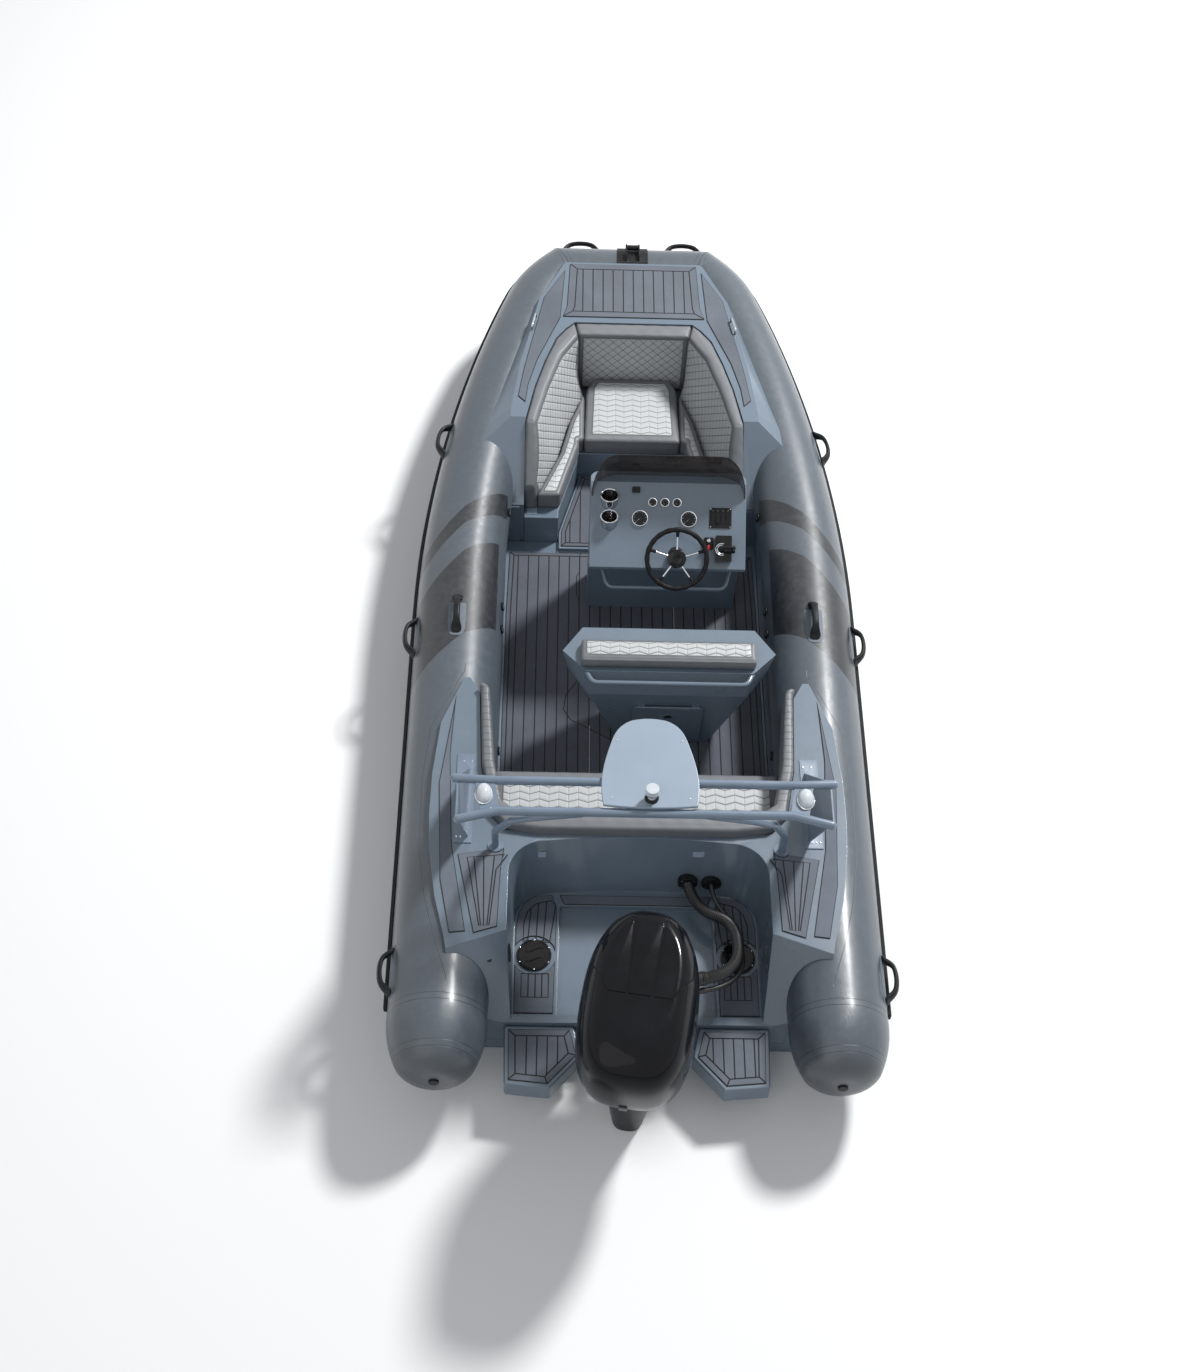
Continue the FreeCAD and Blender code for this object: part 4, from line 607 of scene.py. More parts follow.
def foam_pad(name, loops, paint, border=0, pitch=0, shift=0.0):
    """A pad's dark layer, and the border and planks standing on it."""
    base, top = bmesh.new(), bmesh.new()
    for loop in loops:
        cap = base.faces.new([base.verts.new(p - Vector((0, 0, GROOVE_DEEP))) for p in loop])
        thicken(base, [cap], GROOVE_DEEP - PAD_THICK)
        face = top.faces.new([top.verts.new(p) for p in loop])
        top.normal_update()
        if border:
            mitre_border(top, face, border)
        if pitch:
            cut_planks(top, face, pitch, shift)
    bmesh.ops.split_edges(top, edges=top.edges)
    rims = bmesh.ops.inset_individual(top, faces=top.faces[:], thickness=GROOVE / 2, use_even_offset=True)
    bmesh.ops.delete(top, geom=rims["faces"], context="FACES")
    thicken(top, top.faces[:], -PLANK_THICK, keep=True)
    made = []
    for label, work, colour in (("_layer", base, groove_black), ("", top, paint)):
        bmesh.ops.recalc_face_normals(work, faces=work.faces)
        made.append(fitted(built(name + label, work), colour))
    rounded(made[1], 0.0008, 1, 30, harden=False)
    return made


def ribbon(name, route, half, paint, z):
    """A flat line drawn on a deck along a route."""
    points, faces = [], []
    for i, p in enumerate(route):
        way = (Vector(route[min(i + 1, len(route) - 1)]) - Vector(route[max(i - 1, 0)])).normalized()
        side = Vector((-way.y, way.x)) * half
        points += [(p[0] - side.x, p[1] - side.y, z), (p[0] + side.x, p[1] + side.y, z)]
        if i:
            faces.append((2 * i - 2, 2 * i, 2 * i + 1, 2 * i - 1))
    fitted(mesh_object(name, points, faces, False), paint)


def centre_of(loop):
    return sum(loop, Vector()) / len(loop)


def deck_of(loop):
    """Which deck a pad lies on."""
    centre = centre_of(loop)
    wide, long = [max(p[i] for p in loop) - min(p[i] for p in loop) for i in (0, 1)]
    if centre.y > 3.0:
        return "bow_centre" if abs(centre.x) < 0.1 else "bow_sides"
    if centre.z > 0.5:
        return "stern_long" if long > 1.0 else "stern_short"
    if centre.y < 0:
        return "platform"
    return "well_strip" if wide > 0.5 else "well"


groove_black = foam("foam_groove", rgb(20, 21, 23))
foam_side, foam_bow, foam_sole = [foam("foam_" + name, colour) for name, colour in (
    ("side", pad_side_grey), ("bow", pad_bow_grey), ("sole", pad_sole_grey))]
decks = {}
for loop in top_faces("deck_pads"):
    decks.setdefault(deck_of(loop), []).append(loop)
pads = foam_pad("pad_bow_centre", decks["bow_centre"], foam_bow, 0.048, 0.0635)
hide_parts("deck_pads")
foam_pad("pad_bow_sides", decks["bow_sides"], foam_bow)
for deck in ("stern_long", "stern_short", "well", "well_strip"):
    foam_pad("pad_" + deck, decks[deck], foam_side)
foam_pad("pad_platform", decks["platform"], foam_side, 0.036, 0.052, 0.018)
for deck, routes in CUTS.items():
    for side in (-1, 1):
        for i, route in enumerate(routes):
            ribbon(f"cut_{deck}_{side + 1}_{i}", [(side * x, y) for x, y in route], LINE_HALF, groove_black,
                   decks[deck][0][0].z + LINE_LIFT)

# Cockpit sole's foam
# One sheet from tube to tube, under the console and the pod, with a border and planks between dark grooves.
# A cut follows the floor hatch, and two lines, painted pale as a highlight, show where the floor panels meet.

SOLE_TOP = max(v.co.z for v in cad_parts["sole_pads"].data.vertices if v.co.y < 3.0)
SOLE_SIDE = [(0.744, 1.400), (0.744, 2.800), (0.734, 3.255)]
SOLE_BORDER, SOLE_PLANK = 0.026, 0.062
HATCH = [[(-0.300, 3.252), (-0.308, 3.244), (-0.309, 3.107), (-0.328, 3.069), (-0.326, 2.938), (-0.311, 2.884),
          (-0.309, 2.612)], [(-0.309, 2.500), (-0.315, 2.300), (-0.326, 2.265), (-0.382, 2.180), (-0.394, 2.073),
                             (-0.352, 2.004), (-0.244, 1.941), (-0.087, 1.848)]]
JOINTS = [(0.252, 2.850, 2.560), (-0.245, 1.964, 1.480)]

outline = [Vector((x, y, SOLE_TOP)) for x, y in SOLE_SIDE] + [Vector((-x, y, SOLE_TOP)) for x, y in SOLE_SIDE[::-1]]
sole = foam_pad("pad_sole", [outline], foam_sole, SOLE_BORDER, SOLE_PLANK)
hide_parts("sole_pads")
step = [loop for loop in top_faces("sole_pads") if centre_of(loop).y > 3.3]
foam_pad("pad_step", step, foam_sole, SOLE_BORDER, SOLE_PLANK)
for i, route in enumerate(HATCH):
    ribbon(f"sole_hatch_{i}", route, 0.003, groove_black, SOLE_TOP + 0.0005)
# The joint lines are painted pale: a painted highlight along where the floor panels meet.
joint_painted_highlight = foam("foam_joint", rgb(176, 182, 188))
for i, (x, fore, aft) in enumerate(JOINTS):
    ribbon(f"sole_joint_{i}", [(x, fore), (x, aft)], 0.0024, joint_painted_highlight, SOLE_TOP + 0.0007)

# Cushions
# Foam covered in marine vinyl: pale quilted inserts inside a grey border, sewn along every edge. The covers
# stand proud between their seams, and each one lies on its moulded seat or against its coaming.

insert_pale, border_grey = rgb(184, 187, 188), rgb(108, 111, 115)
WAVE_LONG, WAVE_HIGH, DIAMOND, SEAM_DEEP = 0.052, 0.017, 0.062, 0.0035
LOUNGE = Vector((0, 4.05, 0.55))


def islands(node):
    """The node's separate solids from port to starboard, as meshes for working on."""
    whole = mesh_of(node)
    whole.faces.index_update()
    left, found = set(whole.faces), []
    for first in whole.faces:
        if first not in left:
            continue
        left.discard(first)
        group, edge = [], [first]
        while edge:
            face = edge.pop()
            group.append(face)
            near = [f for e in face.edges for f in e.link_faces if f in left]
            left.difference_update(near)
            edge += dict.fromkeys(near)
        part, corner = bmesh.new(), {}
        for face in sorted(group, key=lambda f: f.index):
            for v in face.verts:
                if v not in corner:
                    corner[v] = part.verts.new(v.co)
            part.faces.new([corner[v] for v in face.verts])
        bmesh.ops.dissolve_limit(part, angle_limit=math.radians(1), verts=part.verts, edges=part.edges)
        part.normal_update()
        found.append(part)
    whole.free()
    return sorted(found, key=lambda b: sum(v.co.x for v in b.verts) / len(b.verts))


def along_edges(edges):
    """Close points along edges, for measuring distances to a seam."""
    points = []
    for edge in edges:
        a, b = edge.verts[0].co, edge.verts[1].co
        points += [a.lerp(b, t)[:] for t in np.linspace(0, 1, max(2, int((a - b).length / 0.004)))]
    return np.array(points).reshape(-1, 3)


def nearest(points, places):
    tree = KDTree(len(places))
    for i, p in enumerate(places):
        tree.insert(p, i)
    tree.balance()
    return np.array([tree.find(p)[2] for p in points])


def relax(work, times, factor):
    for _ in range(times):
        bmesh.ops.smooth_vert(work, verts=work.verts, factor=factor, use_axis_x=True, use_axis_y=True,
                              use_axis_z=True)
    work.normal_update()


def cushion(name, part, is_main, voxel, crown, paint, across):
    """Blown-up cover over a foam block, with its seams drawn in and the insert's place kept for the paint."""
    sharp = [e for e in part.edges if len(e.link_faces) == 2 and e.calc_face_angle(0) > math.radians(32)]
    outline = [e for e in sharp if sum(is_main(f.normal, f.calc_center_median()) for f in e.link_faces) == 1]
    seams, rim = along_edges(sharp), along_edges(outline)
    main = [f for f in part.faces if is_main(f.normal, f.calc_center_median())]
    facing = sum((f.normal * f.calc_area() for f in main), Vector()).normalized()
    block = built(name + "_block", part)
    remesh = block.modifiers.new("remesh", "REMESH")
    remesh.mode, remesh.voxel_size = "VOXEL", voxel
    bpy.context.view_layer.update()
    skin = bpy.data.meshes.new_from_object(block.evaluated_get(bpy.context.evaluated_depsgraph_get()))
    bpy.data.objects.remove(block)
    work = bmesh.new()
    work.from_mesh(skin)
    relax(work, 3, 0.5)
    place = np.array([v.co[:] for v in work.verts])
    normal = np.array([v.normal[:] for v in work.verts])
    gap = nearest(place, seams)
    swell = crown * (1 - np.exp(-(gap / 0.04) ** 2)) - SEAM_DEEP * np.exp(-(gap / 0.007) ** 2)
    swell += 0.0016 * np.exp(-((gap - 0.012) / 0.006) ** 2)
    swell = np.where(normal[:, 2] < -0.6, -0.0015, swell)
    puckers = np.sin(place[:, 0] * 61) * np.sin(place[:, 1] * 53 + place[:, 2] * 47)
    swell += 0.0006 * puckers * (gap < 0.05)
    for v, p in zip(work.verts, place + normal * swell[:, None]):
        v.co = p
    relax(work, 2, 0.4)
    if len(rim):
        reach = nearest([v.co for v in work.verts], rim)
        reach = np.where([is_main(v.normal, v.co) for v in work.verts], reach, -reach)
    else:
        reach = np.full(len(place), -1.0)
    pattern = np.array([across(facing, v.co) for v in work.verts])
    work.to_mesh(skin)
    work.free()
    for label, values in (("rim", reach), ("quilt_u", pattern[:, 0]), ("quilt_v", pattern[:, 1])):
        skin.attributes.new(label, "FLOAT", "POINT").data.foreach_set("value", values.astype(np.float32))
    skin.materials.clear()
    skin.shade_smooth()
    made = linked(name, skin)
    return fitted(made, paint)


def vinyl(name, border, pattern, ribs=None, pitch=0.046):
    """Border and insert told apart by the distance to the cover's edge seam."""
    made = material(name, border_grey, 0.5, coat=0.1, coat_roughness=0.4)
    place = object_place(made)
    rim, u, v = [place.node("Attribute", {"attribute_name": label}, out=2) for label in ("rim", "quilt_u", "quilt_v")]
    insert = rim.ramp(border, border + 0.0015)
    if pattern == "zigzag":
        fold = u.math("PINGPONG", WAVE_LONG) * (WAVE_HIGH / WAVE_LONG)
        rows, ticks = (v + fold) / pitch, u / WAVE_LONG
        row, tick = [abs((s.math("FRACT") - 0.5) * 2) for s in (rows, ticks)]
        puff = (1 - row.math("POWER", 5)) * (1 - tick.math("POWER", 14) * 0.45)
    else:
        one, two = [abs((s.math("FRACT") - 0.5) * 2) for s in ((u + v) / DIAMOND, (u - v) / DIAMOND)]
        puff = (1 - one.math("POWER", 6)) * (1 - two.math("POWER", 6))
    # Quilt lines darkened in the colour: partly their thread, partly painted shade in the hollows between the puffs.
    groove_thread_and_shade = (1 - puff).ramp(0.45, 0.95) * insert
    seam = line_mask(rim - border, 0.0016) + line_mask(rim - border + 0.007, 0.0008) * 0.6
    seam = (seam + line_mask(rim, 0.0025)).math("MINIMUM", 1.0)
    height = puff * insert * 0.005 - seam * 0.0018
    if ribs:
        y = split(place)[1]
        cut = (y / ribs).math("FRACT") - 0.5
        band = line_mask(cut * ribs, 0.0022) * y.ramp(1.06, 1.07) * (1 - insert)
        height = height - band * 0.003
        seam = seam.math("MAXIMUM", band * 0.8)
    grain, crease, soil = place.noise(520, 2, 0.5), place.noise(11, 5, 0.62), place.noise(4, 5, 0.65)
    base = insert.mix(border_grey, insert_pale)
    base = soil.ramp(0.45, 0.75, 0, 0.16).mix(base, rgb(150, 148, 142))
    # Thread colour and painted shade along the quilt lines.
    base = (groove_thread_and_shade * 0.85).mix(base, rgb(98, 99, 100))
    base = (seam * 0.6).mix(base, rgb(86, 88, 92))
    drive(made, Base_Color=base, Roughness=grain.ramp(0.3, 0.7, 0.42, 0.58))
    bump(made, height + grain * 0.00012 + crease * 0.0012, 1.0, 0.9)
    return made


def faces_up(normal, at):
    return normal.z > 0.72


def faces_lounge(normal, at):
    return abs(normal.z) < 0.55 and normal.dot((LOUNGE - Vector(at)).normalized()) > 0.35


def no_face(normal, at):
    return False


def in_plan(normal, at):
    return at.x, at.y


def up_wall(normal, at):
    way = Vector((-normal.y, normal.x, 0))
    way = way.normalized() if way.length > 0.2 else Vector((1, 0, 0))
    return Vector((at.x, at.y, 0)).dot(way), at.z


seat_vinyl = vinyl("vinyl_zigzag", 0.045, "zigzag")
bench_vinyl = vinyl("vinyl_bench", 0.055, "zigzag")
back_vinyl = vinyl("vinyl_diamond", 0.028, "diamond")
bolster_vinyl = vinyl("vinyl_bolster", 9.0, "diamond", ribs=0.044)
helm_vinyl = vinyl("vinyl_helm", 0.026, "zigzag", pitch=0.036)
side_vinyl = vinyl("vinyl_side", 0.026, "zigzag")
for node, is_main, voxel, crown, paint, across in (
        ("bow_cushions", faces_up, 0.008, 0.010, seat_vinyl, in_plan),
        ("bow_backrests", faces_lounge, 0.008, 0.009, back_vinyl, up_wall),
        ("helm_cushion", faces_up, 0.0065, 0.008, helm_vinyl, in_plan),
        ("aft_cushion", faces_up, 0.009, 0.012, bench_vinyl, in_plan),
        ("aft_backrest", no_face, 0.008, 0.007, bolster_vinyl, in_plan)):
    for i, part in enumerate(islands(node)):
        cover = side_vinyl if node == "bow_cushions" and i != 1 else paint
        made = cushion(f"{node}_cover_{i}", part, is_main, voxel, crown, cover, across)
        if i == 0:
            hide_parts(node)

# Helm console
# A moulded pedestal with a sloping dash. The dials have chrome bezels and dark faces, the switches sit
# in a black panel, two steel cups darkened inside by painted shade are let in to port, and a smoked screen wraps the
# forward edge.

DASH_AFT, DASH_TILT, ON_DASH = Vector((0, 2.53, 0.85)), math.atan2(0.265, 0.4), 0.0003
DIALS = ((0.010, 0.230, 0.047), (0.283, 0.230, 0.047), (0.080, 0.306, 0.0275), (0.148, 0.306, 0.0275),
         (0.216, 0.306, 0.0275))
DIAL_ZERO, DIAL_SWEEP, MARK_HALF = math.radians(225), math.radians(270), 0.0009


def on_dash(x, offset, lift=0.0):
    """Frame on the dash: across, up the slope, out of it."""
    place = Vector((x, DASH_AFT.y + offset, DASH_AFT.z + offset * math.tan(DASH_TILT)))
    return Matrix.Translation(place) @ Matrix.Rotation(DASH_TILT, 4, "X") @ moved(0, 0, lift)


def moved(x, y, z):
    return Matrix.Translation((x, y, z))


def turned(name, profile, frame_at, paint, sides=48, caps=(True, True), body="boat"):
    """A shape turned on a lathe, from radius and height pairs."""
    turn = np.linspace(0, 2 * math.pi, sides, endpoint=False)
    rings = [np.stack([r * np.cos(turn), r * np.sin(turn), np.full(sides, h)], axis=1) for r, h in profile]
    made = skinned(name, rings, caps)
    made.data.transform(frame_at)
    tidy_normals(made, 30)
    return fitted(made, paint, body)


def slab(name, outline, height, frame_at, paint, edge=0.0015, body="boat"):
    """Flat piece with its outline in the frame's plane and rounded edges."""
    work = bmesh.new()
    cap = work.faces.new([work.verts.new((x, y, 0)) for x, y in outline])
    thicken(work, [cap], height)
    bmesh.ops.recalc_face_normals(work, faces=work.faces)
    bmesh.ops.transform(work, matrix=frame_at, verts=work.verts)
    made = built(name, work)
    made.data.shade_smooth()
    made.data.set_sharp_from_angle(angle=math.radians(35))
    if edge:
        rounded(made, edge, 2, 40)
    return fitted(made, paint, body)


def plate(x0, x1, y0, y1, radius, count=5):
    """Outline of a rectangle with rounded corners."""
    points = []
    for cx, cy, start in ((x1 - radius, y1 - radius, 0), (x0 + radius, y1 - radius, 90),
                          (x0 + radius, y0 + radius, 180), (x1 - radius, y0 + radius, 270)):
        for i in range(count + 1):
            a = math.radians(start + 90 * i / count)
            points.append((cx + radius * math.cos(a), cy + radius * math.sin(a)))
    return points


def metal(name, colour, rough):
    made = material(name, colour, rough, metallic=1.0)
    smear = object_place(made).noise(35, 4, 0.6)
    drive(made, Roughness=smear.ramp(0.3, 0.7, rough * 0.7, rough * 1.6),
          Base_Color=smear.ramp(0.35, 0.8).mix(colour, shade(colour, 0.8)))
    return made


def plastic(name, colour, rough, coat=0.0, grain=500):
    """Moulded plastic. Dark ones shine less, so that they stay dark under a white sky."""
    dark = max(colour[:3]) < 0.03
    made = material(name, colour, rough, coat=coat * 0.35 if dark else coat, specular=0.16 if dark else 0.45)
    place = object_place(made)
    pebble, wear = place.noise(grain, 2, 0.5), place.noise(14, 5, 0.65)
    drive(made, Base_Color=wear.ramp(0.4, 0.75).mix(colour, shade(colour, 1.5, 0.006)),
          Roughness=wear.ramp(0.3, 0.7, rough * 0.8, min(1, rough * 1.25)))
    bump(made, pebble * 0.00025 + wear * 0.0004, 1.0, 0.7)
    return made


chrome = metal("chrome", rgb(205, 208, 212), 0.12)
steel = metal("steel_polished", rgb(190, 194, 200), 0.2)
black_moulded = plastic("black_moulded", rgb(24, 25, 27), 0.42)
black_gloss = plastic("black_gloss", rgb(16, 16, 18), 0.22, coat=0.5, grain=60)
dial_black = plastic("dial_black", rgb(14, 15, 18), 0.3, coat=0.6, grain=60)
dial_white = plastic("dial_white", rgb(225, 226, 224), 0.5)
needle_red = plastic("needle_red", rgb(190, 38, 30), 0.45)
moulded("console_moulding", "console_body", 0.012, deck_paint, segments=3)

for i, (x, offset, r) in enumerate(DIALS):
    at = on_dash(x, offset, ON_DASH)
    bezel = turned(f"dial_bezel_{i}", [(r, 0), (r, 0.008), (r - 0.0025, 0.0118), (r - 0.006, 0.0105),
                                       (r - 0.0075, 0.006)], at, chrome)
    if i == 0:
        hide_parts("instruments")
    turned(f"dial_face_{i}", [(r - 0.0072, 0.0055), (r - 0.0072, 0.0075), (r - 0.011, 0.0072)], at, dial_black)
    reach, steps = r - 0.010, 11 if r > 0.03 else 7
    marks, faces = [], []
    for k in range(steps):
        a = DIAL_ZERO - DIAL_SWEEP * k / (steps - 1)
        out, side = Vector((math.cos(a), math.sin(a), 0)), Vector((-math.sin(a), math.cos(a), 0))
        long = 0.09 if k % 2 else 0.16
        marks += [at @ (out * reach * q + side * s * MARK_HALF + Vector((0, 0, 0.00765)))
                  for s, q in ((-1, 1), (1, 1), (1, 1 - long), (-1, 1 - long))]
        faces.append(tuple(range(4 * k, 4 * k + 4)))
    fitted(mesh_object(f"dial_marks_{i}", marks, faces, False), dial_white)
    point = Vector((math.cos(DIAL_ZERO), math.sin(DIAL_ZERO))) * reach * 0.86
    side = Vector((-math.sin(DIAL_ZERO), math.cos(DIAL_ZERO))) * MARK_HALF
    slab(f"dial_needle_{i}", [side, point, -side, point * -0.25], 0.0006, at @ moved(0, 0, 0.0077), dial_white,
         edge=0)
    turned(f"dial_cap_{i}", [(0.0036, 0.0075), (0.0036, 0.0092), (0.0022, 0.0098)], at, black_moulded, 20)

panel_at = on_dash(0.46, 0.239, ON_DASH)
on_panel = panel_at @ moved(0, 0, 0.0055)
panel = slab("switch_plate", plate(-0.062, 0.062, -0.057, 0.057, 0.008), 0.0055, panel_at, black_moulded)
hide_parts("switch_panel")
for i, tip in enumerate((7, -7, 7, 7)):
    x = -0.042 + 0.028 * i
    slab(f"switch_well_{i}", plate(x - 0.0115, x + 0.0115, -0.034, 0.026, 0.002), 0.0014, on_panel, black_gloss,
         0.0006)
    rocker_at = panel_at @ moved(x, -0.004, 0.0068) @ Matrix.Rotation(math.radians(tip), 4, "X")
    slab(f"switch_rocker_{i}", plate(-0.009, 0.009, -0.027, 0.027, 0.002), 0.0036, rocker_at, black_gloss, 0.0012)
    turned(f"switch_lamp_{i}", [(0.0016, 0), (0.0016, 0.0006)], on_panel @ moved(x, 0.041, 0), dial_white, 12)
for sx in (-1, 1):
    for sy in (-1, 1):
        turned(f"switch_screw_{sx + 1}_{sy + 1}", [(0.0028, 0), (0.0028, 0.0006), (0.0014, 0.0011)],
               on_panel @ moved(sx * 0.055, sy * 0.050, 0), steel, 14)

slab("ignition_plate", plate(-0.026, 0.026, -0.034, 0.034, 0.006), 0.018, on_dash(0.396, 0.118, ON_DASH),
     black_moulded, 0.003)
barrel_at, stop_at = on_dash(0.396, 0.130, 0.0183), on_dash(0.396, 0.102, 0.0183)
turned("ignition_barrel", [(0.011, 0), (0.011, 0.005), (0.009, 0.007)], barrel_at, chrome, 28)
slab("ignition_key", plate(-0.0013, 0.0013, -0.012, 0.012, 0.001), 0.028, barrel_at @ moved(0, 0, 0.006), steel,
     0.0006)
turned("stop_switch", [(0.009, 0), (0.009, 0.006), (0.0065, 0.009)], stop_at, needle_red, 28)
slab("stop_clip", plate(-0.008, 0.008, -0.016, 0.006, 0.004), 0.004, stop_at @ moved(0, -0.004, 0.009), needle_red,
     0.0012)
slab("sounder_box", plate(-0.022, 0.022, -0.016, 0.016, 0.004), 0.020, on_dash(-0.013, 0.363, ON_DASH),
     black_moulded, 0.003)

cup_steel = metal("cup_steel", rgb(176, 180, 186), 0.22)
x, y, z = split(object_place(cup_steel))
# The cups' colour darkens with depth below the dash's plane, towards a brown-grey: painted shade inside the cups.
cup_depth_shade = (z - DASH_AFT.z) - (y - DASH_AFT.y) * math.tan(DASH_TILT)
drive(cup_steel, Base_Color=cup_depth_shade.ramp(-0.060, 0.004).mix(rgb(88, 82, 80), rgb(190, 194, 200)))
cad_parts["cup_holders"].data.materials[0] = cup_steel
for i, offset in enumerate((0.314, 0.216)):
    turned(f"cup_rim_{i}", [(0.0458, 0.004), (0.0458, 0.033), (0.0495, 0.035), (0.0510, 0.0385), (0.0485, 0.0405),
                            (0.0438, 0.0385), (0.0434, 0.012)],
           Matrix.Translation(on_dash(-0.161, offset).translation), chrome, 56, caps=(False, False))

# Throttle
# A cast side-lever control in gloss black, with chrome arcs and a chrome knob. It is
# bolted to the dash's starboard edge.

moulded("throttle_control", "throttle", 0.006, black_gloss, segments=3)
quad_at = on_dash(0.476, 0.085, 0.0705)
for i, r in enumerate((0.024, 0.033)):
    arc = [quad_at @ Vector((r * math.cos(a) - 0.012, r * math.sin(a), 0.0012)) for a in np.linspace(1.2, 5.1, 24)]
    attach(tube_along(f"throttle_arc_{i}", arc, 0.0028, chrome, 10), "boat")
turned("throttle_knob", [(0.017, 0), (0.0175, 0.003), (0.016, 0.006), (0.006, 0.008)],
       on_dash(0.532, 0.085, 0.060) @ Matrix.Rotation(math.pi / 2, 4, "Y"), chrome, 36)

# Steering wheel
# A padded black rim with moulded finger grips on five thin bright spokes, and a black hub cap. It is keyed
# to the shaft that comes out of the boss on the dash.

WHEEL_TILT, WHEEL_R, WHEEL_LIFT, GRIP_R, FINGERS = math.radians(38), 0.165, 0.012, 0.0138, 20
axis = Vector((0, -math.cos(WHEEL_TILT), math.sin(WHEEL_TILT)))
across = Vector((1, 0, 0))
wheel_at = standing(on_dash(0.214, 0.035, 0.095).translation, across, axis.cross(across), axis)
wheel_black = plastic("wheel_rim", rgb(20, 20, 22), 0.5, grain=700)
rings = []
for a in np.linspace(0, 2 * math.pi, 120, endpoint=False):
    grip = GRIP_R + 0.0009 * math.cos(a * FINGERS)
    out = Vector((math.cos(a), math.sin(a), 0))
    ring = [out * (WHEEL_R + grip * math.cos(t)) + Vector((0, 0, WHEEL_LIFT + grip * 0.95 * math.sin(t)))
            for t in np.linspace(0, 2 * math.pi, 20, endpoint=False)]
    rings.append([(wheel_at @ p)[:] for p in ring])
rim = skinned("wheel_rim", rings, closed=True)
tidy_normals(rim)
fitted(rim, wheel_black, "steering_wheel")
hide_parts("steering_wheel")
for i in range(5):
    a = math.radians(90 + 72 * i)
    out = Vector((math.cos(a), math.sin(a), 0))
    start, end = out * 0.040, out * 0.154 + Vector((0, 0, 0.010))
    bent = (start, start.lerp(end, 0.3) + Vector((0, 0, 0.001)), start.lerp(end, 0.7), end)
    straight = [start.lerp(end, t) for t in (0.74, 0.78, 0.95, 1.0)]
    for part, path, radii, paint in (("spoke", bent, [0.0062, 0.0056, 0.0056, 0.006], steel),
                                     ("sleeve", straight, [0.0072, 0.0088, 0.0098, 0.0105], wheel_black)):
        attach(tube_along(f"wheel_{part}_{i}", [wheel_at @ p for p in path], radii, paint, 16), "steering_wheel")
turned("wheel_hub", [(0.012, -0.056), (0.012, -0.021), (0.036, -0.020), (0.049, -0.004), (0.052, 0.008),
                     (0.049, 0.017), (0.036, 0.0205), (0.004, 0.0215)], wheel_at, black_gloss, body="steering_wheel")
turned("wheel_cap", [(0.030, 0.0205), (0.0295, 0.0228), (0.026, 0.0236), (0.0245, 0.0228)], wheel_at, black_gloss,
       40, body="steering_wheel")
moulded("helm_boss_cover", "helm_boss", 0.003, black_moulded)

# Screen and console rail
# Smoke-brown acrylic bent round the console's front and screwed to it, and a moulded grab rail under the
# dash.

smoke = material("smoked_acrylic", rgb(46, 37, 32), 0.08, coat=0.6, coat_roughness=0.03)
smoke.node_tree.nodes["Principled BSDF"].inputs["Alpha"].default_value = 0.78
film = object_place(smoke).noise(12, 5, 0.6)
drive(smoke, Roughness=film.ramp(0.4, 0.75, 0.06, 0.2),
      Base_Color=film.ramp(0.4, 0.8).mix(rgb(44, 35, 31), rgb(66, 56, 50)))
moulded("screen_acrylic", "windscreen", 0.002, smoke, crease=40)
moulded("console_grab_rail", "console_rail", 0.003, deck_paint)

# Helm seat pod
# A faceted leaning pod with a locker, moulded in one piece. Its door is hung at the top and held by a
# turn latch.

DOOR_FOOT, DOOR_HEAD = (1.870, 0.1143), (1.787, 0.660)
LATCH_X, LATCH_Z = 0.18, 0.44
moulded("pod_moulding", "helm_seat_base", 0.010, deck_paint, segments=3)
moulded("pod_door", "helm_hatch", 0.006, deck_paint, body="helm_hatch", segments=3)
moulded("pod_rail", "helm_rail", 0.003, deck_paint)
door_slope = (DOOR_FOOT[0] - DOOR_HEAD[0]) / (DOOR_HEAD[1] - DOOR_FOOT[1])


def on_door(x, z, lift=0.0):
    """Frame on the locker door's face: across, up it, out of it."""
    place = Vector((x, DOOR_HEAD[0] + (DOOR_HEAD[1] - z) * door_slope - 0.014, z))
    lean = Matrix.Rotation(math.pi / 2 + math.atan(door_slope), 4, "X")
    return Matrix.Translation(place) @ lean @ moved(0, 0, lift)


diamond = [(-0.048, 0), (0, -0.030), (0.048, 0), (0, 0.030)]
inner = [(x * 0.62, y * 0.62) for x, y in diamond]
bar = plate(-0.020, 0.020, -0.0045, 0.0045, 0.004)
for name, outline, height, lift, paint, edge in (("plate", diamond, 0.003, 0.0, deck_paint, 0.0012),
                                                 ("seat", inner, 0.0012, 0.003, black_moulded, 0.0004),
                                                 ("bar", bar, 0.006, 0.0042, black_gloss, 0.0014)):
    slab("door_latch_" + name, outline, height, on_door(LATCH_X, LATCH_Z, lift), paint, edge, body="helm_hatch")

# Light arch
# Bent alloy tube welded to raked legs, painted to match the decks, with a moulded equipment plate and
# three lights. Base plates are screwed to the side decks.

ARCH_FOOT_Z, PLATE_TOP_Z, MASTHEAD = 0.6663, 1.3405, (0.030, 0.659)
FOOT_SCREWS = ((0.915, 0.854), (0.915, 1.073), (0.915, 1.325), (0.872, 1.325), (0.936, 0.854))
PLATE_SCREWS = ((-0.135, 1.0), (0.185, 1.0), (-0.165, 0.66), (0.215, 0.66))
SCREW_HEAD = [(0.006, 0), (0.006, 0.0012), (0.004, 0.0028), (0.001, 0.0032)]

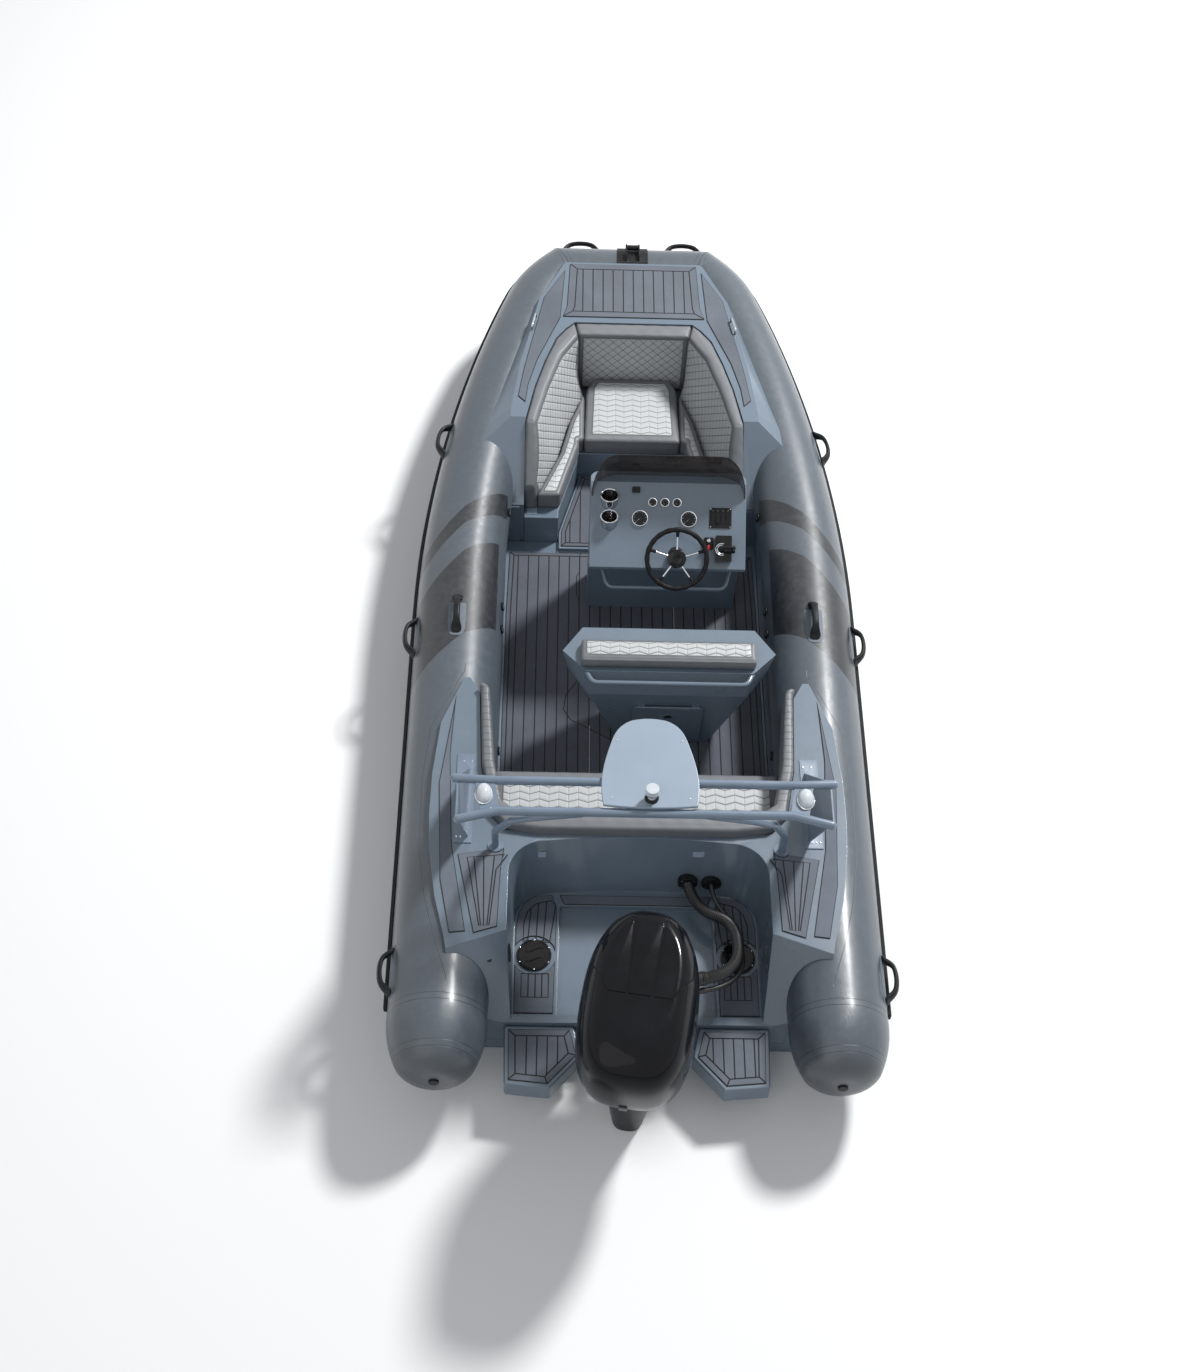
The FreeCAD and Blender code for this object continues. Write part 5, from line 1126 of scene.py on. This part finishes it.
arch_paint = material("arch_paint", rgb(112, 128, 146), 0.34, coat=0.25, coat_roughness=0.2)
place = object_place(arch_paint)
orange_peel, film = place.noise(320, 2, 0.5), place.noise(5, 5, 0.6)
drive(arch_paint, Base_Color=film.ramp(0.3, 0.7).mix(rgb(106, 121, 139), rgb(120, 135, 152)),
      Roughness=film.ramp(0.3, 0.7, 0.28, 0.44))
bump(arch_paint, orange_peel * 0.00012 + film * 0.0008, 1.0, 0.5)
plate_paint = gelcoat("plate_paint", rgb(146, 161, 176))
lens_white = material("lens_white", rgb(204, 209, 214), 0.16, coat=0.6, coat_roughness=0.05)
place = object_place(lens_white)
flute, cloud = (split(place)[2] * 420).math("SINE"), place.noise(22, 4, 0.6)
drive(lens_white, Base_Color=cloud.ramp(0.3, 0.75).mix(rgb(190, 197, 204), rgb(214, 218, 221)),
      Roughness=cloud.ramp(0.3, 0.7, 0.12, 0.26))
bump(lens_white, flute * 0.0004 + cloud * 0.0006, 1.0, 0.4)

moulded("arch_tubes", "arch_frame", 0.003, arch_paint, crease=35)
moulded("arch_top_plate", "arch_plate", 0.007, plate_paint, crease=40, segments=3)
moulded("arch_light_lenses", "arch_lights", 0.002, lens_white, crease=40)
for side in (-1, 1):
    for i, (x, y) in enumerate(FOOT_SCREWS):
        turned(f"arch_screw_{side + 1}_{i}", SCREW_HEAD, moved(side * x, y, ARCH_FOOT_Z), steel, 18)
    oval = moved(side * 0.78, 0.69, 1.3055) @ Matrix.Diagonal((1, 1.36, 1, 1))
    turned(f"light_base_{side + 1}", [(0.0450, 0.0), (0.0450, 0.004), (0.0425, 0.0065)], oval, chrome, 56)
for i, (x, y) in enumerate(PLATE_SCREWS):
    turned(f"plate_screw_{i}", SCREW_HEAD, moved(x, y, PLATE_TOP_Z), steel, 18)
turned("masthead_base", [(0.034, 0), (0.034, 0.006), (0.026, 0.012), (0.0235, 0.014)],
       moved(*MASTHEAD, PLATE_TOP_Z + 0.0001), black_moulded, 40)
turned("masthead_band", [(0.0328, 0.0), (0.0328, 0.010), (0.0322, 0.011)], moved(*MASTHEAD, 1.3860), steel, 40)

# Tube fittings
# Black moulded loop handles on glued oval patches, screwed-in valve caps, a rubbing strake round the tubes
# and a roller fairlead on a non-slip patch at the bow. The two handles on top sit flat on the tubes.

HANDLES_Y, TOP_HANDLE_Y, BOW_HANDLE_X, HANDLE_TILT = (0.164, 2.295, 3.714), 2.343, 0.331, math.radians(20)
VALVES = ((1.58, 2), (2.392, 13), (2.553, 13), (3.254, 14))
PATCH_THICK, PATCH_ROWS, PATCH_SIDES = 0.0012, 7, 40
# Half of a handle's stations: along, out, half width, half thickness.
GRIP = [(-0.134, 0.002, 0.014, 0.004), (-0.124, 0.006, 0.028, 0.008), (-0.106, 0.014, 0.031, 0.012),
        (-0.092, 0.034, 0.024, 0.013), (-0.072, 0.053, 0.019, 0.012), (-0.040, 0.062, 0.0185, 0.0115),
        (0.0, 0.065, 0.019, 0.0115)]
GRIP_RINGS = 49


def round_tube(y, out):
    """Centre and radius of the starboard tube, and the ways along it, round it and out of it."""
    x, z, r, heading = tube_at(y)
    out = Vector(out).normalized()
    way = Vector((-math.sin(heading), math.cos(heading), 0))
    return Vector((x, y, z)), r, way, out.cross(way).normalized(), out


def squarish(value, power):
    return np.sign(value) * np.abs(value) ** power


def patch(name, y, out, half_long, half_wide, flip):
    """Glued oval fabric patch wrapped on the round tube."""
    centre, r, way, side, out = round_tube(y, out)
    sag = 0.1 / TUBE_BEND if y > BEND_FROM else 0
    rings = []
    for layer, rows in ((PATCH_THICK, range(PATCH_ROWS + 1)), (-PATCH_THICK / 2, range(PATCH_ROWS, -1, -1))):
        for row in rows:
            share = max(row / PATCH_ROWS, 0.001)
            ring = []
            for a in np.linspace(0, 2 * math.pi, PATCH_SIDES, endpoint=False):
                u = half_long * share * squarish(math.cos(a), 0.55)
                v = half_wide * share * squarish(math.sin(a), 0.55) / r
                lift = r + layer - sag * u * u
                ring.append((centre + way * u + (out * math.cos(v) + side * math.sin(v)) * lift)[:])
            rings.append(ring)
    made = skinned(name, rings)
    made.data.transform(flip)
    tidy_normals(made, 40)
    fitted(made, patch_grey)


def handle(name, at):
    """Arched grip, flat and wide, that runs down into two broad feet."""
    half = np.array(GRIP)
    whole = np.vstack([half, (half[:-1] * [-1, 1, 1, 1])[::-1]])
    at_ring = np.linspace(0, len(whole) - 1, GRIP_RINGS)
    fine = np.array([np.interp(at_ring, np.arange(len(whole)), column) for column in whole.T]).T
    for _ in range(3):
        fine[1:-1] = (fine[:-2] + 2 * fine[1:-1] + fine[2:]) / 4
    turn = np.linspace(0, 2 * math.pi, 20, endpoint=False)
    rings = []
    for k, (u, w, wide, thick) in enumerate(fine):
        step = fine[min(k + 1, GRIP_RINGS - 1), :2] - fine[max(k - 1, 0), :2]
        step = step / np.linalg.norm(step)
        lift = thick * squarish(np.sin(turn), 0.7)
        rings.append(np.stack([u - lift * step[1], wide * squarish(np.cos(turn), 0.7), w + lift * step[0]], axis=1))
    made = skinned(name, rings)
    made.data.transform(at)
    tidy_normals(made, 50)
    return fitted(made, black_moulded)


rubber = plastic("strake_rubber", rgb(26, 27, 29), 0.62, grain=300)
patch_grey = plastic("handle_patch", rgb(96, 105, 114), 0.6)
moulded("strake_profile", "rub_strakes", 0.004, rubber, crease=30)
moulded("valve_caps", "air_valves", 0.0025, black_moulded, crease=40)
moulded("bow_fairlead", "bow_roller", 0.003, black_moulded, crease=40)
moulded("deck_cleats", "cleats", 0.002, steel, crease=50)

for tag, flip in SIDES.items():
    stands = [(f"_{tag}_{i}", y, HANDLE_TILT, 0.150, 0.046) for i, y in enumerate(HANDLES_Y)]
    for label, y, tilt, half_long, half_wide in stands + [(f"_top_{tag}", TOP_HANDLE_Y, math.pi / 2, 0.152, 0.050)]:
        heading = tube_at(y)[3]
        out = (math.cos(heading) * math.cos(tilt), math.sin(heading) * math.cos(tilt), math.sin(tilt))
        patch("handle_patch" + label, y, out, half_long, half_wide, flip)
        centre, r, way, side, out = round_tube(y, out)
        handle("handle" + label, flip @ standing(centre + out * r, way, -side, out))
    out, across = Vector((0, math.cos(HANDLE_TILT), math.sin(HANDLE_TILT))), Vector((1, 0, 0))
    foot = Vector((BOW_HANDLE_X, BOW_Y, bow_z)) + out * bow_r
    last = handle(f"handle_bow_{tag}", flip @ standing(foot, across, out.cross(across), out))
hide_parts("grab_handles")
for i, (y, degrees) in enumerate(VALVES):
    x, z, r, heading = tube_at(y)
    t = math.radians(degrees)
    out = Vector((-math.cos(heading) * math.cos(t), -math.sin(heading) * math.cos(t), math.sin(t)))
    facing = out.to_track_quat("Z", "Y").to_matrix().to_4x4()
    at = Matrix.Translation(Vector((x, y, z)) + out * (r + 0.0098)) @ facing
    for tag, flip in SIDES.items():
        slot = [(-0.016, -0.003), (0.016, -0.003), (0.016, 0.003), (-0.016, 0.003)]
        slab(f"valve_slot_{tag}_{i}", slot, 0.0012, flip @ at, patch_grey, 0.0004)

# Well and stern fittings
# Round inspection plates with moulded grips, black hose collars, recessed courtesy lights in the well's wall
# and a drain in the port shoulder, with a breather under it. All are screwed through their flanges.

PLATE_AT, PLATE_SCREW_R, COLLAR_SCREW_R = (0.527, 0.399, 0.2604), 0.0855, 0.043
COLLARS, COLLAR_FACE_Y = ((0.270, 0.355), (0.394, 0.355)), 0.7785
WALL_FOOT, WALL_SLOPE, LIGHT_Z = (0.797, 0.25), 0.07 / 0.41, 0.56

moulded("inspection_plates", "deck_plates", 0.003, black_moulded, crease=40)
moulded("hose_collars", "rigging_flanges", 0.006, black_moulded, crease=40, segments=3)
for side in (-1, 1):
    at = moved(side * PLATE_AT[0], *PLATE_AT[1:])
    turned(f"plate_ring_{side + 1}", [(0.089, 0), (0.089, 0.002), (0.082, 0.0026), (0.079, 0.0004)],
           at, black_gloss, 64)
    for k in (-1, 1):
        wave = [at @ Vector((x, k * 0.028 + 0.012 * math.sin(x * 46), 0.001)) for x in np.linspace(-0.045, 0.045, 24)]
        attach(tube_along(f"plate_grip_{side + 1}_{k + 1}", wave, 0.0035, black_gloss, 10), "boat")
    for k in range(6):
        a = math.radians(60 * k + 30)
        turned(f"plate_screw_{side + 1}_{k}", [(0.0034, 0), (0.0034, 0.0008), (0.0016, 0.0014)],
               at @ moved(PLATE_SCREW_R * math.cos(a), PLATE_SCREW_R * math.sin(a), 0.002), steel, 12)
for i, (x, z) in enumerate(COLLARS):
    for k in range(4):
        a = math.radians(90 * k + 45)
        at = moved(x + COLLAR_SCREW_R * math.cos(a), COLLAR_FACE_Y, z + COLLAR_SCREW_R * math.sin(a))
        turned(f"collar_screw_{i}_{k}", [(0.0035, 0), (0.0035, 0.001), (0.0018, 0.002)],
               at @ Matrix.Rotation(math.pi / 2, 4, "X"), steel, 12)
glow = plastic("courtesy_lens", rgb(150, 164, 182), 0.25, coat=0.6, grain=80)
for side, x in (("port", -0.505), ("starboard", 0.315)):
    bow = 0.025 * (x / 0.475) ** 2 if abs(x) < 0.475 else 0.028
    y = WALL_FOOT[0] + (LIGHT_Z - WALL_FOOT[1]) * WALL_SLOPE - bow - 0.0015
    at = moved(x, y, LIGHT_Z) @ Matrix.Rotation(math.pi / 2 - math.atan(WALL_SLOPE), 4, "X")
    slab(f"courtesy_light_{side}", plate(-0.030, 0.030, -0.020, 0.020, 0.004), 0.0022, at, glow, 0.0008)


def surface_of(node):
    """The node's surface, for finding where a fitting sits on it."""
    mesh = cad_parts[node].data
    return BVHTree.FromPolygons([v.co for v in mesh.vertices], [f.vertices for f in mesh.polygons])


stern = surface_of("stern_deck")
hit = stern.ray_cast(Vector((-0.747, 0.200, 2)), Vector((0, 0, -1)))[0]
turned("deck_drain", [(0.012, 0), (0.012, 0.001), (0.009, 0.0016)], Matrix.Translation(hit), black_moulded, 24)
hit, lean = stern.ray_cast(Vector((0, 0.290, 0.470)), Vector((-1, 0, 0)))[:2]
turned("well_breather", [(0.046, -0.002), (0.046, 0.003), (0.041, 0.006), (0.030, 0.0065), (0.027, 0.004)],
       Matrix.Translation(hit) @ lean.to_track_quat("Z", "Y").to_matrix().to_4x4(), black_moulded, 40)
slab("lounge_latch_plate", plate(-0.030, 0.030, -0.026, 0.026, 0.005), 0.0026, moved(-0.604, 3.402, 0.3301),
     plate_paint, 0.001)

# Outboard engine
# A gloss black cowl with raised panels and a latch astern, on a satin leg. A cast clamp and swivel carry it
# on the transom, and a three-bladed alloy propeller is painted to match.

STEER_AXIS, STEERED, LATCH_Z = (0, -0.095, 0), math.radians(-8), 0.735
cowl_paint = material("cowl_gloss", rgb(9, 10, 14), 0.2, coat=0.22, coat_roughness=0.02, specular=0.06)
place = object_place(cowl_paint)
film, flake = place.noise(7, 5, 0.6), place.noise(900, 2, 0.5)
drive(cowl_paint, Base_Color=film.ramp(0.35, 0.75).mix(rgb(8, 9, 13), rgb(14, 15, 21)),
      Roughness=film.ramp(0.3, 0.75, 0.16, 0.28))
bump(cowl_paint, film * 0.0012 + flake * 0.00002, 1.0, 0.35)
leg_paint = plastic("leg_satin", rgb(25, 27, 31), 0.36, coat=0.3, grain=240)
prop_paint = plastic("propeller_paint", rgb(28, 29, 32), 0.32, coat=0.4, grain=200)
moulded("cowl_shell", "engine_cowl", 0.005, cowl_paint, body="outboard", crease=34, segments=3)
moulded("leg_casting", "engine_leg", 0.004, leg_paint, body="outboard", crease=34)
moulded("clamp_casting", "clamp_bracket", 0.004, leg_paint, crease=34)
moulded("swivel_casting", "swivel_bracket", 0.004, leg_paint, body="engine_bracket", crease=34)
moulded("propeller_cast", "propeller", 0.0015, prop_paint, body="propeller", crease=30)

steered = Matrix.Translation(STEER_AXIS) @ Matrix.Rotation(STEERED, 4, "Z")
steered = steered @ Matrix.Translation(STEER_AXIS).inverted()
hit, lean = surface_of("engine_cowl").ray_cast(steered @ Vector((-0.012, -1.2, LATCH_Z)),
                                               steered.to_3x3() @ Vector((0, 1, 0)))[:2]
upward = (Vector((0, 0, 1)) - lean * lean.z).normalized()
latch_grey = plastic("latch_grey", rgb(78, 80, 84), 0.5)
slab("cowl_latch", plate(-0.020, 0.020, -0.034, 0.030, 0.005), 0.011,
     standing(hit - lean * 0.002, upward.cross(lean), upward, lean), latch_grey, 0.003, body="outboard")
